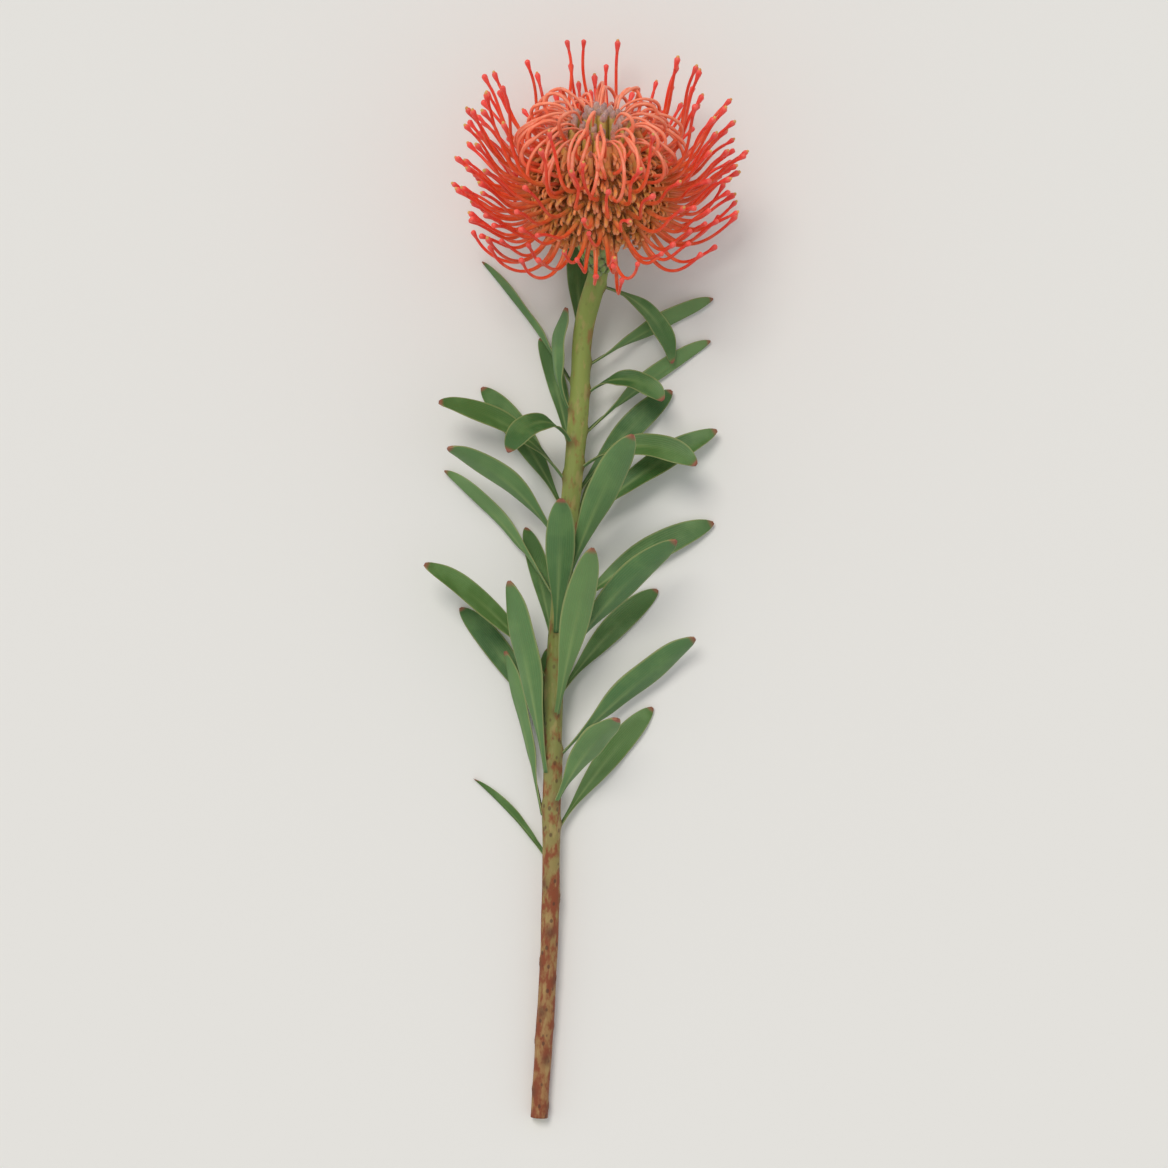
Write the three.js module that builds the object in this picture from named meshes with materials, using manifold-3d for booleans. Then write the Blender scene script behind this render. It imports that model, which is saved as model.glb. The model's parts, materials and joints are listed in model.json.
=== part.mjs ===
// One cut flowering stem of the succession pincushion protea, lying on a surface.
// Millimetres. +X runs from the cut end to the flower head, +Z is up, and the surface is z = 0.
// The side that the flower shows to a person in front of it looks up.

import * as THREE from 'three';
import { mergeVertices } from 'three/addons/utils/BufferGeometryUtils.js';
import Module from 'manifold-3d';

const wasm = await Module();
wasm.setup();

const { cos, sin, sqrt, exp, acos, min, max, PI } = Math;
const rad = THREE.MathUtils.degToRad;
const mix = THREE.MathUtils.lerp;
const { smoothstep } = THREE.MathUtils;

// The stem: where it was cut, how it lies, and how thick it is.
const CUT_END = new THREE.Vector3(-252.8, -2.5, 4.15);
const STEM_RISE = [
  [-167.8, -1.7, 7.4],
  [-87.8, 2.3, 10.4],
  [-32.8, 4.3, 11.8],
  [22.2, 2.7, 12.8],
  [77.2, 1.4, 14.4],
  [123.2, 1.4, 17.2],
];
const STEM_RADIUS_LOW = 4.1;
const STEM_RADIUS_NECK = 4.7;
const STEM_SIDES = 10;
const STEM_STEPS = 20;
const GAP = 0.35;

// The flower head: its middle, how its axis leans up and sideways, and its turn of florets.
const HEAD_CENTRE = new THREE.Vector3(184.2, -1, 47.5);
const HEAD_LEAN = rad(30);
const HEAD_TURN = rad(4);
const FLORETS = 189;
const ROWS = 21;
const FIRST_BOWED = 12;
const FIRST_FREE = 78;
const GOLDEN_ANGLE = rad(137.507764);

// The conical seat of the florets inside the head, as heights along the head's axis.
const SEAT_TOP = 14;
const SEAT_BASE = -28;
const SEAT_RADIUS = 9;
const STALK_RADIUS = 0.3;
const STRIP_RADIUS = 0.46;
const FOOT_HEIGHT = 1;
const CAP_RIM = 7;
const CAP_SHELL = 0.6;

// Outlines round the head's axis, as radius and height: the stem's flare and the collar on it.
const FLARE = [[7.6, -30], [SEAT_RADIUS, SEAT_BASE]];
const COLLAR = [[5.6, -42], [7.4, -37], [9.2, -32.6], [8.2, -32.2], [4.2, -36], [4.2, -42]];
const COLLAR_BRACTS = 12;
const BRACT_POINT = 2.2;
const NECK = [-42, -34];

// The dome of perianths is a sphere round the head's middle. The crown, where the free styles end,
// is a larger one with its middle further up the axis.
const DOME_RADIUS = 35;
const DOME_EDGE = rad(128);
const CROWN_RADIUS = 64;
const CROWN_RISE = 9;
const CROWN_TOP = rad(48);
const CROWN_EDGE = rad(114);

// A bowed style: how far its limb leans to the apex, how far it dives behind, and on its way the
// lift off the dome, the share of that dive and the share of the sideways sway.
const LIMB_LEAN = rad(14);
const LIMB_LEANS_BY = rad(42);
const HOOP_DIVE = rad(11);
const HOOP_SWAY = 0.8;
const HOOP = [
  [5, 0.3, 0.2], [11, 0.6, 0.5], [15, 0.85, 0.8], [14, 1.05, 1], [7, 1.2, 1], [0, 1.1, 0.8], [-4, 1, 0.6],
];

// A free style: how it leaves its claws, how it arrives at its tip and how far the tip leans out at
// the top of the crown, at its edge, and more in between.
const STYLE_LEAVE = 15;
const STYLE_LEAVE_LEAN = rad(6);
const STYLE_ARRIVE = 13;
const LEAN_TOP = rad(20);
const LEAN_EDGE = rad(34);
const LEAN_BETWEEN = rad(36);

// How thick the florets' own parts are.
const TUBE_RADIUS = 1.25;
const LIMB_RADIUS = 1.5;
const CLAW_RADIUS = 1.9;
const STYLE_RADIUS = 0.72;
const PRESENTER_RADIUS = 1.5;
const PRESENTER_LENGTH = 4.4;
const FLORET_SIDES = 3;

// Florets and leaves that meet the surface give way: below these heights they flatten out.
const HEAD_GIVES_BELOW = 16;
const HEAD_GIVES_TO = -2.8;
const LEAF_GIVES_BELOW = 9;
const LEAF_THICKNESS = 1.1;
const LEAF_STEPS = 12;
const LEAF_FOLD = 0.22;
const TWIST_ENDS = 0.4;
const PETIOLE_ENDS = 0.2;

// Colours of the fresh flower.
const STYLE_RED = 0xf0583c;
const BUD_GREEN = 0xb9b56a;
const STEM_GREEN = 0x8f9a4a;
const BRACT_GREEN = 0x6f7f4a;
const LEAF_GREEN = 0x4f7d46;

// The leaves from the lowest up. at: mm from the cut end, around: degrees from straight up
// towards the right, opening: degrees off the stem, bend: degrees more by the tip.
// layer: how high the blade rests where it lies on the surface.
const LEAVES = [
  { at: 124, around: 214, opening: 54, bend: 14, length: 70, width: 11.5, twist: 18, layer: 1.0 },
  { at: 139, around: 120, opening: 36, bend: 12, length: 74, width: 12, twist: 52, layer: 1.0 },
  { at: 147, around: 258, opening: 12, bend: 4, length: 76, width: 12.5, twist: 40, layer: 3.6 },
  { at: 152, around: 36, opening: 36, bend: 26, length: 62, width: 14, twist: -24, layer: 1.0 },
  { at: 162, around: 184, opening: 26, bend: 12, length: 70, width: 12, twist: 8, layer: 4.6 },
  { at: 168, around: 312, opening: 13, bend: 6, length: 90, width: 14.5, twist: 14, layer: 1.0 },
  { at: 174, around: 88, opening: 42, bend: 12, length: 82, width: 15, twist: -52, layer: 1.0 },
  { at: 184, around: 230, opening: 34, bend: 20, length: 78, width: 12.5, twist: -40, layer: 1.0 },
  { at: 194, around: 20, opening: 25, bend: 8, length: 88, width: 14.5, twist: -10, layer: 1.0 },
  { at: 202, around: 134, opening: 42, bend: 18, length: 78, width: 12.5, twist: 40, layer: 1.0 },
  { at: 210, around: 280, opening: 36, bend: 28, length: 78, width: 13.5, twist: -52, layer: 1.0 },
  { at: 218, around: 55, opening: 34, bend: 22, length: 84, width: 14, twist: -40, layer: 1.0 },
  { at: 225, around: 200, opening: 38, bend: 10, length: 72, width: 12, twist: 10, layer: 1.0 },
  { at: 233, around: 352, opening: 14, bend: 12, length: 64, width: 14, twist: 4, layer: 1.0 },
  { at: 241, around: 106, opening: 42, bend: 24, length: 82, width: 14, twist: 58, layer: 1.0 },
  { at: 249, around: 248, opening: 38, bend: 24, length: 80, width: 13, twist: 44, layer: 2.6 },
  { at: 257, around: 26, opening: 28, bend: 18, length: 86, width: 15, twist: -18, layer: 1.0 },
  { at: 265, around: 158, opening: 34, bend: 14, length: 74, width: 12, twist: 16, layer: 2.6 },
  { at: 273, around: 298, opening: 38, bend: 40, length: 74, width: 13, twist: 38, layer: 1.0 },
  { at: 281, around: 98, opening: 40, bend: 20, length: 80, width: 13, twist: 56, layer: 1.0 },
  { at: 289, around: 232, opening: 36, bend: 20, length: 76, width: 12.5, twist: -44, layer: 1.0 },
  { at: 298, around: 134, opening: 38, bend: 18, length: 74, width: 12.5, twist: 44, layer: 3.6 },
  { at: 304, around: 282, opening: 42, bend: 46, length: 70, width: 12.5, twist: -52, layer: 1.0 },
  { at: 310, around: 74, opening: 48, bend: 74, length: 58, width: 13.5, twist: 56, layer: 1.0 },
  { at: 315, around: 204, opening: 34, bend: 16, length: 70, width: 12, twist: 10, layer: 1.0 },
  { at: 321, around: 322, opening: 48, bend: 104, length: 52, width: 12.5, twist: -34, layer: 1.0 },
  { at: 326, around: 114, opening: 44, bend: 16, length: 76, width: 12.5, twist: -54, layer: 1.0 },
  { at: 337, around: 285, opening: 30, bend: -52, length: 48, width: 10.5, twist: 20, layer: 1.0 },
  { at: 345, around: 76, opening: 50, bend: 92, length: 39, width: 11.5, twist: 50, layer: 1.0 },
  { at: 349, around: 237, opening: 38, bend: 12, length: 76, width: 12, twist: 42, layer: 1.0 },
  { at: 358, around: 110, opening: 56, bend: 10, length: 68, width: 11.5, twist: -54, layer: 1.0 },
  { at: 367, around: 190, opening: 34, bend: 16, length: 60, width: 11, twist: 8, layer: 1.0 },
  { at: 396, around: 98, opening: 92, bend: 66, length: 52, width: 10.5, twist: 44, layer: 1.0 },
];

// The head's own axes: along it, towards the viewer, and to the right.
const HEAD_AXIS = new THREE.Vector3(
  cos(HEAD_LEAN) * cos(HEAD_TURN), cos(HEAD_LEAN) * sin(HEAD_TURN), sin(HEAD_LEAN),
);
const HEAD_FRONT = new THREE.Vector3(
  -sin(HEAD_LEAN) * cos(HEAD_TURN), -sin(HEAD_LEAN) * sin(HEAD_TURN), cos(HEAD_LEAN),
);
const HEAD_RIGHT = new THREE.Vector3().crossVectors(HEAD_AXIS, HEAD_FRONT);

// A point of the head from its distance to the axis, its height along it and its angle round it.
function headPoint(out, up, around) {
  return HEAD_CENTRE.clone()
    .addScaledVector(HEAD_AXIS, up)
    .addScaledVector(HEAD_FRONT, out * cos(around))
    .addScaledVector(HEAD_RIGHT, out * sin(around));
}

// Turns a piece that was made round the upright axis into the head's own place.
function inHead(geometry) {
  const turn = new THREE.Matrix4().makeBasis(HEAD_RIGHT, HEAD_AXIS, HEAD_FRONT);
  return geometry.applyMatrix4(turn.setPosition(HEAD_CENTRE));
}

// Heights under `below` sink ever more slowly towards `floor`, and never pass each other.
function giveWay(z, below, floor) {
  const depth = below - floor;
  return z >= below ? z : floor + depth * exp((z - below) / depth);
}

// A bar of `sides` faces, each ring of which is carried to a point with a radius.
function bar(points, radii, sides, hint, turn = 0) {
  const steps = points.length - 1;
  const geometry = new THREE.CylinderGeometry(1, 1, 1, sides, steps, false, turn);
  const place = geometry.attributes.position;
  const frames = points.map((point, i) => {
    const along = points[min(i + 1, steps)].clone().sub(points[max(i - 1, 0)]).normalize();
    const side = hint.clone().addScaledVector(along, -hint.dot(along)).normalize();
    return { side, other: new THREE.Vector3().crossVectors(side, along) };
  });
  for (let v = 0; v < place.count; v += 1) {
    const i = Math.round((place.getY(v) + 0.5) * steps);
    const spot = points[i].clone()
      .addScaledVector(frames[i].side, place.getX(v) * radii[i])
      .addScaledVector(frames[i].other, place.getZ(v) * radii[i]);
    place.setXYZ(v, spot.x, spot.y, spot.z);
  }
  return welded(geometry);
}

function welded(geometry) {
  geometry.deleteAttribute('normal');
  geometry.deleteAttribute('uv');
  return mergeVertices(geometry, 1e-5);
}

function solid(geometry) {
  return new wasm.Manifold(new wasm.Mesh({
    numProp: 3,
    vertProperties: new Float32Array(geometry.attributes.position.array),
    triVerts: new Uint32Array(geometry.index.array),
  }));
}

function geometryOf(body) {
  const mesh = body.getMesh();
  const geometry = new THREE.BufferGeometry();
  geometry.setAttribute('position', new THREE.BufferAttribute(mesh.vertProperties, 3));
  geometry.setIndex(new THREE.BufferAttribute(mesh.triVerts, 1));
  return geometry;
}

function joined(geometries) {
  return geometries.map(solid).reduce((whole, piece) => whole.add(piece));
}

function part(name, geometry, color, roughness) {
  const shown = geometry.toNonIndexed();
  shown.computeVertexNormals();
  const material = new THREE.MeshStandardMaterial({ color, roughness, metalness: 0 });
  const mesh = new THREE.Mesh(shown, material);
  mesh.name = name;
  return mesh;
}

// The stem's middle line, from the cut end through the bent neck to the top of the seat.
function stemCurve() {
  const neck = NECK.map((up) => headPoint(0, up, 0));
  return new THREE.CatmullRomCurve3([
    CUT_END, ...STEM_RISE.map((p) => new THREE.Vector3(...p)), ...neck,
  ], false, 'centripetal');
}

const STEM = stemCurve();
const STEM_CURVE_LENGTH = STEM.getLength();

function stemRadius(fraction) {
  return mix(STEM_RADIUS_LOW, STEM_RADIUS_NECK, fraction ** 1.5);
}

function seatRadius(up) {
  return SEAT_RADIUS * sqrt(max(0, SEAT_TOP - up) / (SEAT_TOP - SEAT_BASE));
}

// The stem, its flare under the head and the conical seat are one grown piece.
function stemGeometry(extra) {
  const points = [];
  const radii = [];
  for (let i = 0; i <= STEM_STEPS; i += 1) {
    points.push(STEM.getPointAt(i / STEM_STEPS));
    radii.push(stemRadius(i / STEM_STEPS) + extra);
  }
  for (const [radius, up] of FLARE) {
    points.push(headPoint(0, up, 0));
    radii.push(radius + extra);
  }
  for (const share of [0.3, 0.6, 0.85, 0.98]) {
    const up = mix(SEAT_BASE, SEAT_TOP, share);
    points.push(headPoint(0, up, 0));
    radii.push(seatRadius(up) + extra);
  }
  return bar(points, radii, STEM_SIDES, new THREE.Vector3(0, 1, 0));
}

// A collar of woolly bracts round the flare, its rim cut into their points.
function involucre() {
  const points = COLLAR.map(([out, up]) => new THREE.Vector2(out, up));
  const collar = new THREE.LatheGeometry([...points, points[0].clone()], 2 * COLLAR_BRACTS);
  const place = collar.attributes.position;
  for (let v = 0; v < place.count; v += 1) {
    const side = Math.round(Math.atan2(place.getX(v), place.getZ(v)) / (PI / COLLAR_BRACTS));
    const onPoint = side % 2 === 0 && place.getY(v) > NECK[1];
    place.setY(v, place.getY(v) + (onPoint ? BRACT_POINT : 0));
  }
  return solid(inHead(welded(collar))).subtract(solid(stemGeometry(GAP)));
}

// Where the floret of a given number sits, and which way it faces.
function floretPlan(number) {
  const level = (number + 0.5) / FLORETS;
  return {
    level,
    around: number * GOLDEN_ANGLE,
    polar: acos(1 - (1 - cos(DOME_EDGE)) * level ** 1.1),
    seat: [SEAT_RADIUS * level ** 0.4, mix(SEAT_TOP, SEAT_BASE, level ** 0.8)],
  };
}

const onSphere = (radius, polar) => [radius * sin(polar), radius * cos(polar)];

// Carries a floret's points from its own plane into the head and lets the surface bend them.
function floretBar(path, radii, around) {
  const across = HEAD_RIGHT.clone().multiplyScalar(cos(around))
    .addScaledVector(HEAD_FRONT, -sin(around));
  const points = path.map(([out, up, aside = 0]) => {
    const point = headPoint(out, up, around).addScaledVector(across, aside);
    point.z = giveWay(point.z, HEAD_GIVES_BELOW, HEAD_GIVES_TO);
    return point;
  });
  return bar(points, radii, FLORET_SIDES, across);
}

// Where a floret's stalk starts: on the seat, or on the cap over its tip for the closed middle.
function footOf(number) {
  const { seat } = floretPlan(number);
  return number < ROWS
    ? [seat[0], max(seat[1], CAP_RIM + GAP) + CAP_SHELL]
    : [seat[0] + FOOT_HEIGHT, seat[1]];
}

// A closed bud: a tube that swells to its woolly limb.
function budFloret(number) {
  const { around, polar } = floretPlan(number);
  const path = [footOf(number), onSphere(30, polar * 0.98), onSphere(37, polar * 0.78)];
  return floretBar(path, [STALK_RADIUS, 1.3, 1.0], around);
}

// A floret whose style still bows out of its perianth: up the tube to the woolly limb, which leans
// to the apex, and from there, where its tip is held, far out and back down into the dome.
function hoopFloret(number) {
  const { around, polar } = floretPlan(number);
  const limb = polar - LIMB_LEAN * min(1, polar / LIMB_LEANS_BY);
  const path = [
    footOf(number),
    onSphere(30, mix(limb, polar, 0.7)),
    onSphere(DOME_RADIUS - 0.5, limb),
    onSphere(DOME_RADIUS + 2, limb),
    ...HOOP.map(([lift, share, aside]) => [
      ...onSphere(DOME_RADIUS + lift, mix(limb, polar + HOOP_DIVE, share)), aside * HOOP_SWAY,
    ]),
  ];
  const radii = [
    STALK_RADIUS, TUBE_RADIUS, LIMB_RADIUS, LIMB_RADIUS, ...HOOP.map(() => STYLE_RADIUS),
  ];
  return floretBar(path, radii, around);
}

// An open floret: its rolled claws end at the dome, and the free style curves up to its presenter.
function freeFloret(number) {
  const { level, around, polar } = floretPlan(number);
  const share = (level - FIRST_FREE / FLORETS) / (1 - FIRST_FREE / FLORETS);
  const claw = onSphere(DOME_RADIUS, polar);
  const [out, up] = onSphere(CROWN_RADIUS, mix(CROWN_TOP, CROWN_EDGE, share ** 0.7));
  const tip = [out, CROWN_RISE + up];
  const lean = mix(LEAN_TOP, LEAN_EDGE, share) + LEAN_BETWEEN * sin(PI * share);
  const leave = polar + STYLE_LEAVE_LEAN;
  const curve = new THREE.CubicBezierCurve(
    new THREE.Vector2(...claw),
    new THREE.Vector2(claw[0] + STYLE_LEAVE * sin(leave), claw[1] + STYLE_LEAVE * cos(leave)),
    new THREE.Vector2(tip[0] - STYLE_ARRIVE * sin(lean), tip[1] - STYLE_ARRIVE * cos(lean)),
    new THREE.Vector2(...tip),
  );
  const past = [tip[0] + PRESENTER_LENGTH * sin(lean), tip[1] + PRESENTER_LENGTH * cos(lean)];
  const path = [
    footOf(number),
    claw,
    curve.getPoint(0.06).toArray(),
    curve.getPoint(0.42).toArray(),
    curve.getPoint(0.75).toArray(),
    tip,
    past,
  ];
  const radii = [
    STALK_RADIUS, CLAW_RADIUS, STYLE_RADIUS, STYLE_RADIUS, STYLE_RADIUS, STYLE_RADIUS,
    PRESENTER_RADIUS,
  ];
  return floretBar(path, radii, around);
}

// The middle of the head: buds and the first bowed florets, on one cap over the tip of the seat.
function budCluster() {
  const rings = 3;
  const ups = Array.from({ length: rings + 1 }, (_, i) => mix(SEAT_TOP, CAP_RIM, (i / rings) ** 2));
  const inside = ups.map((up) => new THREE.Vector2(seatRadius(up), up + GAP));
  const outside = ups.map((up) => {
    const shell = up < SEAT_TOP ? CAP_SHELL : 0;
    return new THREE.Vector2(seatRadius(up) + shell, up + GAP + FOOT_HEIGHT);
  });
  const cap = inHead(welded(new THREE.LatheGeometry([...inside, ...outside.reverse()], 12)));
  const buds = [];
  for (let number = 0; number < ROWS; number += 1) {
    buds.push(number < FIRST_BOWED ? budFloret(number) : hoopFloret(number));
  }
  return joined([cap, ...buds]);
}

// One spiral row: every twenty-first floret, joined by the woolly bracts at their feet.
function floretRow(row) {
  const pieces = [];
  const feet = [];
  for (let number = row + ROWS; number < FLORETS; number += ROWS) {
    pieces.push(number < FIRST_FREE ? hoopFloret(number) : freeFloret(number));
    feet.push(headPoint(...footOf(number), floretPlan(number).around));
  }
  pieces.push(bar(feet, feet.map(() => STRIP_RADIUS), 4, HEAD_AXIS, PI / 4));
  return joined(pieces);
}

// Half the blade's breadth along its length, as a share of the widest.
function leafBreadth(v) {
  const widest = 0.62;
  const rise = 0.2 + 0.8 * sin((PI / 2) * min(v / widest, 1)) ** 2;
  const fall = v > widest ? (1 - ((v - widest) / (1 - widest)) ** 2.4) ** 0.6 : 1;
  return max(rise * fall, 0.12);
}

// A point of the blade's middle surface: v runs from stem to tip, w from edge to edge.
function leafPoint(leaf, v, w) {
  const share = leaf.at / STEM_CURVE_LENGTH;
  const along = STEM.getTangentAt(share);
  const up = new THREE.Vector3(0, 0, 1).addScaledVector(along, -along.z).normalize();
  const right = new THREE.Vector3().crossVectors(along, up);
  const around = rad(leaf.around);
  const away = up.clone().multiplyScalar(cos(around)).addScaledVector(right, sin(around));
  const open = rad(leaf.opening);
  const bend = rad(leaf.bend);
  const now = open + bend * v;
  const point = STEM.getPointAt(share)
    .addScaledVector(away, stemRadius(share) + 1)
    .addScaledVector(along, (leaf.length * (sin(now) - sin(open))) / bend)
    .addScaledVector(away, (leaf.length * (cos(open) - cos(now))) / bend);
  const ahead = along.clone().multiplyScalar(cos(now)).addScaledVector(away, sin(now));
  const flat = new THREE.Vector3().crossVectors(along, away);
  const turn = rad(leaf.twist) * smoothstep(v, 0, TWIST_ENDS);
  const face = new THREE.Vector3().crossVectors(ahead, flat);
  const across = flat.clone().multiplyScalar(cos(turn)).addScaledVector(face, sin(turn));
  const inner = new THREE.Vector3().crossVectors(ahead, across);
  const half = (leaf.width / 2) * leafBreadth(v);
  point.addScaledVector(across, w * half).addScaledVector(inner, LEAF_FOLD * half * w * w);
  const rested = giveWay(point.z, LEAF_GIVES_BELOW, leaf.layer);
  point.z = mix(point.z, rested, smoothstep(v, 0, PETIOLE_ENDS));
  return point;
}

// A leaf: an oblanceolate blade of lens section, folded a little along its midrib.
function leafGeometry(leaf) {
  const geometry = new THREE.CylinderGeometry(1, 1, 1, 4, LEAF_STEPS);
  const place = geometry.attributes.position;
  for (let k = 0; k < place.count; k += 1) {
    const v = 0.5 + place.getY(k);
    const w = place.getX(k);
    const before = leafPoint(leaf, max(v - 0.02, 0), 0);
    const after = leafPoint(leaf, min(v + 0.02, 1), 0);
    const across = leafPoint(leaf, v, 1).sub(leafPoint(leaf, v, -1));
    const face = new THREE.Vector3().crossVectors(across, after.sub(before)).normalize();
    const thick = (LEAF_THICKNESS / 2) * mix(1, 0.6, v);
    const spot = leafPoint(leaf, v, w).addScaledVector(face, place.getZ(k) * thick);
    place.setXYZ(k, spot.x, spot.y, spot.z);
  }
  cutSidesAlike(geometry.index.array);
  return welded(geometry);
}

// Both sides of a blade are cut into triangles along the same lines, so a twist never crosses them.
function cutSidesAlike(corners) {
  for (const side of [1, 3]) {
    for (let step = 0; step < LEAF_STEPS; step += 1) {
      const first = (side * LEAF_STEPS + step) * 6;
      const [a, b, d, , c] = corners.slice(first, first + 6);
      corners.set([a, b, c, a, c, d], first);
    }
  }
}

const group = new THREE.Group();
group.add(part('stem', stemGeometry(0), STEM_GREEN, 0.6));
group.add(part('involucre', geometryOf(involucre()), BRACT_GREEN, 0.85));
group.add(part('bud_cluster', geometryOf(budCluster()), BUD_GREEN, 0.8));
for (let row = 0; row < ROWS; row += 1) {
  const name = `floret_row_${String(row + 1).padStart(2, '0')}`;
  group.add(part(name, geometryOf(floretRow(row)), STYLE_RED, 0.45));
}
LEAVES.forEach((leaf, i) => {
  const name = `leaf_${String(i + 1).padStart(2, '0')}`;
  group.add(part(name, leafGeometry(leaf), LEAF_GREEN, 0.55));
});

export default group;
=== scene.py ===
"""The looks of one cut pincushion protea stem that lies on a pale floor.

The stem runs along +X from its cut end to the flower head, +Z is up, and the front of the flower looks up.
Every size here is in millimetres until a mesh is made of it, and the meshes are in metres.
"""
import json
import logging
import math
from dataclasses import dataclass, field, replace
from enum import Enum
from functools import cache, cached_property
from typing import Any, Optional, Sequence

import bpy
import numpy as np
from mathutils import Matrix, Vector

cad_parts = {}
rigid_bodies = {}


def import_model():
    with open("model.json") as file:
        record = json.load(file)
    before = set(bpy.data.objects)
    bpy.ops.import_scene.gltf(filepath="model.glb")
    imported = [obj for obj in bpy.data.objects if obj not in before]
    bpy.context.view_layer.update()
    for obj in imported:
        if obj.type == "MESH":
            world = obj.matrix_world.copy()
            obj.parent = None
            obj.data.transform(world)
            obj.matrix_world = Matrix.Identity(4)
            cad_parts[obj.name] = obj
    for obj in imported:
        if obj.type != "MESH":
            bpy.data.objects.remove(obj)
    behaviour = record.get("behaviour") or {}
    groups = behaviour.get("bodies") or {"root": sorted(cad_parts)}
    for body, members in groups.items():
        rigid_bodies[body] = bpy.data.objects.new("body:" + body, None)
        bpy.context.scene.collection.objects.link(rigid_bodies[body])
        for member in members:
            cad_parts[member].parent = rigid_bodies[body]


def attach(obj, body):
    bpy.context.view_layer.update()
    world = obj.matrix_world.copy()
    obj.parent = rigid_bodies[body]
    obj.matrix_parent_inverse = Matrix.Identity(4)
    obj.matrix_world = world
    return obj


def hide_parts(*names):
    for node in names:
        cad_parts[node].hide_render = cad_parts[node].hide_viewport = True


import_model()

LOG = logging.getLogger("protea")

MM = 0.001
BODY = "root"
GOLDEN_ANGLE = math.radians(137.507764)
SEED = 1541

# The colour sockets of a Mix node, which share their names with its other sockets
UNDER, OVER, MIXED = 6, 7, 2

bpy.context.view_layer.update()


class Slot(Enum):
    """The record's material slots."""

    STEM = "stem"
    BRACT = "bract"
    BUD = "bud"
    FLORET = "floret"
    PERIANTH = "perianth"
    PRESENTER = "presenter"
    LEAF = "leaf"


# Numbers and curves


def mix(low: Any, high: Any, share: Any) -> Any:
    """Go from low to high by a share.

    Args:
        low: The value at share 0.
        high: The value at share 1.
        share: How far along, a number or an array.

    Returns:
        The value between them.
    """
    return low + (high - low) * share


def ease(value: Any, low: float, high: float) -> Any:
    """Rise smoothly from 0 at low to 1 at high.

    Args:
        value: A number or an array.
        low: Where the rise starts.
        high: Where the rise ends.

    Returns:
        The share, with level ends.
    """
    share = np.clip((np.asarray(value, float) - low) / (high - low), 0.0, 1.0)
    return share * share * (3.0 - 2.0 * share)


def unit(vectors: np.ndarray) -> np.ndarray:
    """Make vectors one long.

    Args:
        vectors: An array whose last axis holds x, y and z.

    Returns:
        The same directions at unit length.
    """
    return vectors / np.maximum(np.linalg.norm(vectors, axis=-1, keepdims=True), 1e-12)


def give_way(height: Any, below: float, floor: Any) -> Any:
    """Let the surface press things up: heights under a limit sink ever more slowly.

    Args:
        height: Height over the surface.
        below: The height under which things start to give way.
        floor: The height that they never reach.

    Returns:
        The height once pressed.
    """
    depth = below - floor
    pressed = floor + depth * np.exp((np.minimum(height, below) - below) / depth)
    return np.where(np.asarray(height) >= below, height, pressed)


def spline(points: Sequence[Sequence[float]], steps: int) -> np.ndarray:
    """Sample a centripetal Catmull-Rom curve through points.

    Args:
        points: The points that the curve passes through.
        steps: Samples in each stretch between two points.

    Returns:
        The sampled points, the last one included.
    """
    given = np.asarray(points, float)
    padded = np.vstack([2 * given[0] - given[1], given, 2 * given[-1] - given[-2]])
    samples = []
    for before, start, end, after in zip(padded, padded[1:], padded[2:], padded[3:]):
        spans = ((before, start), (start, end), (end, after))
        first, middle, last = (max(np.linalg.norm(b - a), 1e-9) ** 0.5 for a, b in spans)
        leave = (start - before) / first - (end - before) / (first + middle) + (end - start) / middle
        arrive = (end - start) / middle - (after - start) / (middle + last) + (after - end) / last
        leave, arrive = leave * middle, arrive * middle
        for t in np.linspace(0, 1, steps, endpoint=False):
            square, cube = t * t, t * t * t
            samples.append(
                start * (2 * cube - 3 * square + 1) + leave * (cube - 2 * square + t)
                + end * (3 * square - 2 * cube) + arrive * (cube - square)
            )
    samples.append(given[-1])
    return np.array(samples)


def bezier(points: Sequence[Sequence[float]], shares: np.ndarray) -> np.ndarray:
    """Sample a cubic Bezier curve.

    Args:
        points: Its four control points.
        shares: Where to sample it, from 0 to 1.

    Returns:
        One point for each share.
    """
    first, second, third, last = (np.asarray(p, float) for p in points)
    t = np.asarray(shares, float)[:, None]
    return (
        first * (1 - t) ** 3 + 3 * second * t * (1 - t) ** 2 + 3 * third * t * t * (1 - t) + last * t ** 3
    )


def respaced(line: np.ndarray, count: int) -> np.ndarray:
    """Space the points of a line evenly.

    Args:
        line: The points of the line.
        count: How many points to keep.

    Returns:
        Points at equal distances along the line.
    """
    reach = np.concatenate([[0.0], np.cumsum(np.linalg.norm(np.diff(line, axis=0), axis=1))])
    wanted = np.linspace(0.0, reach[-1], count)
    return np.stack([np.interp(wanted, reach, line[:, k]) for k in range(line.shape[1])], axis=1)


# Meshes


def make_mesh(
    name: str, points: np.ndarray, faces: Sequence[Sequence[int]] = (), edges: Sequence[Sequence[int]] = (),
    **values: np.ndarray,
) -> bpy.types.Mesh:
    """Make a smooth-shaded mesh in metres, with values on its points.

    Args:
        name: The mesh's name.
        points: Its points in millimetres.
        faces: The point numbers of each face.
        edges: The point numbers of each edge, on a mesh without faces.
        values: A number or a row of three for each point, by the name of its attribute.

    Returns:
        The mesh.
    """
    mesh = bpy.data.meshes.new(name)
    mesh.from_pydata((np.asarray(points, float) * MM).tolist(), edges, faces)
    mesh.shade_smooth()
    mesh.update()
    for key, value in values.items():
        vector = value.ndim == 2
        attribute = mesh.attributes.new(key, "FLOAT_VECTOR" if vector else "FLOAT", "POINT")
        attribute.data.foreach_set("vector" if vector else "value", value.astype(np.float32).ravel())
    return mesh


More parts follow.
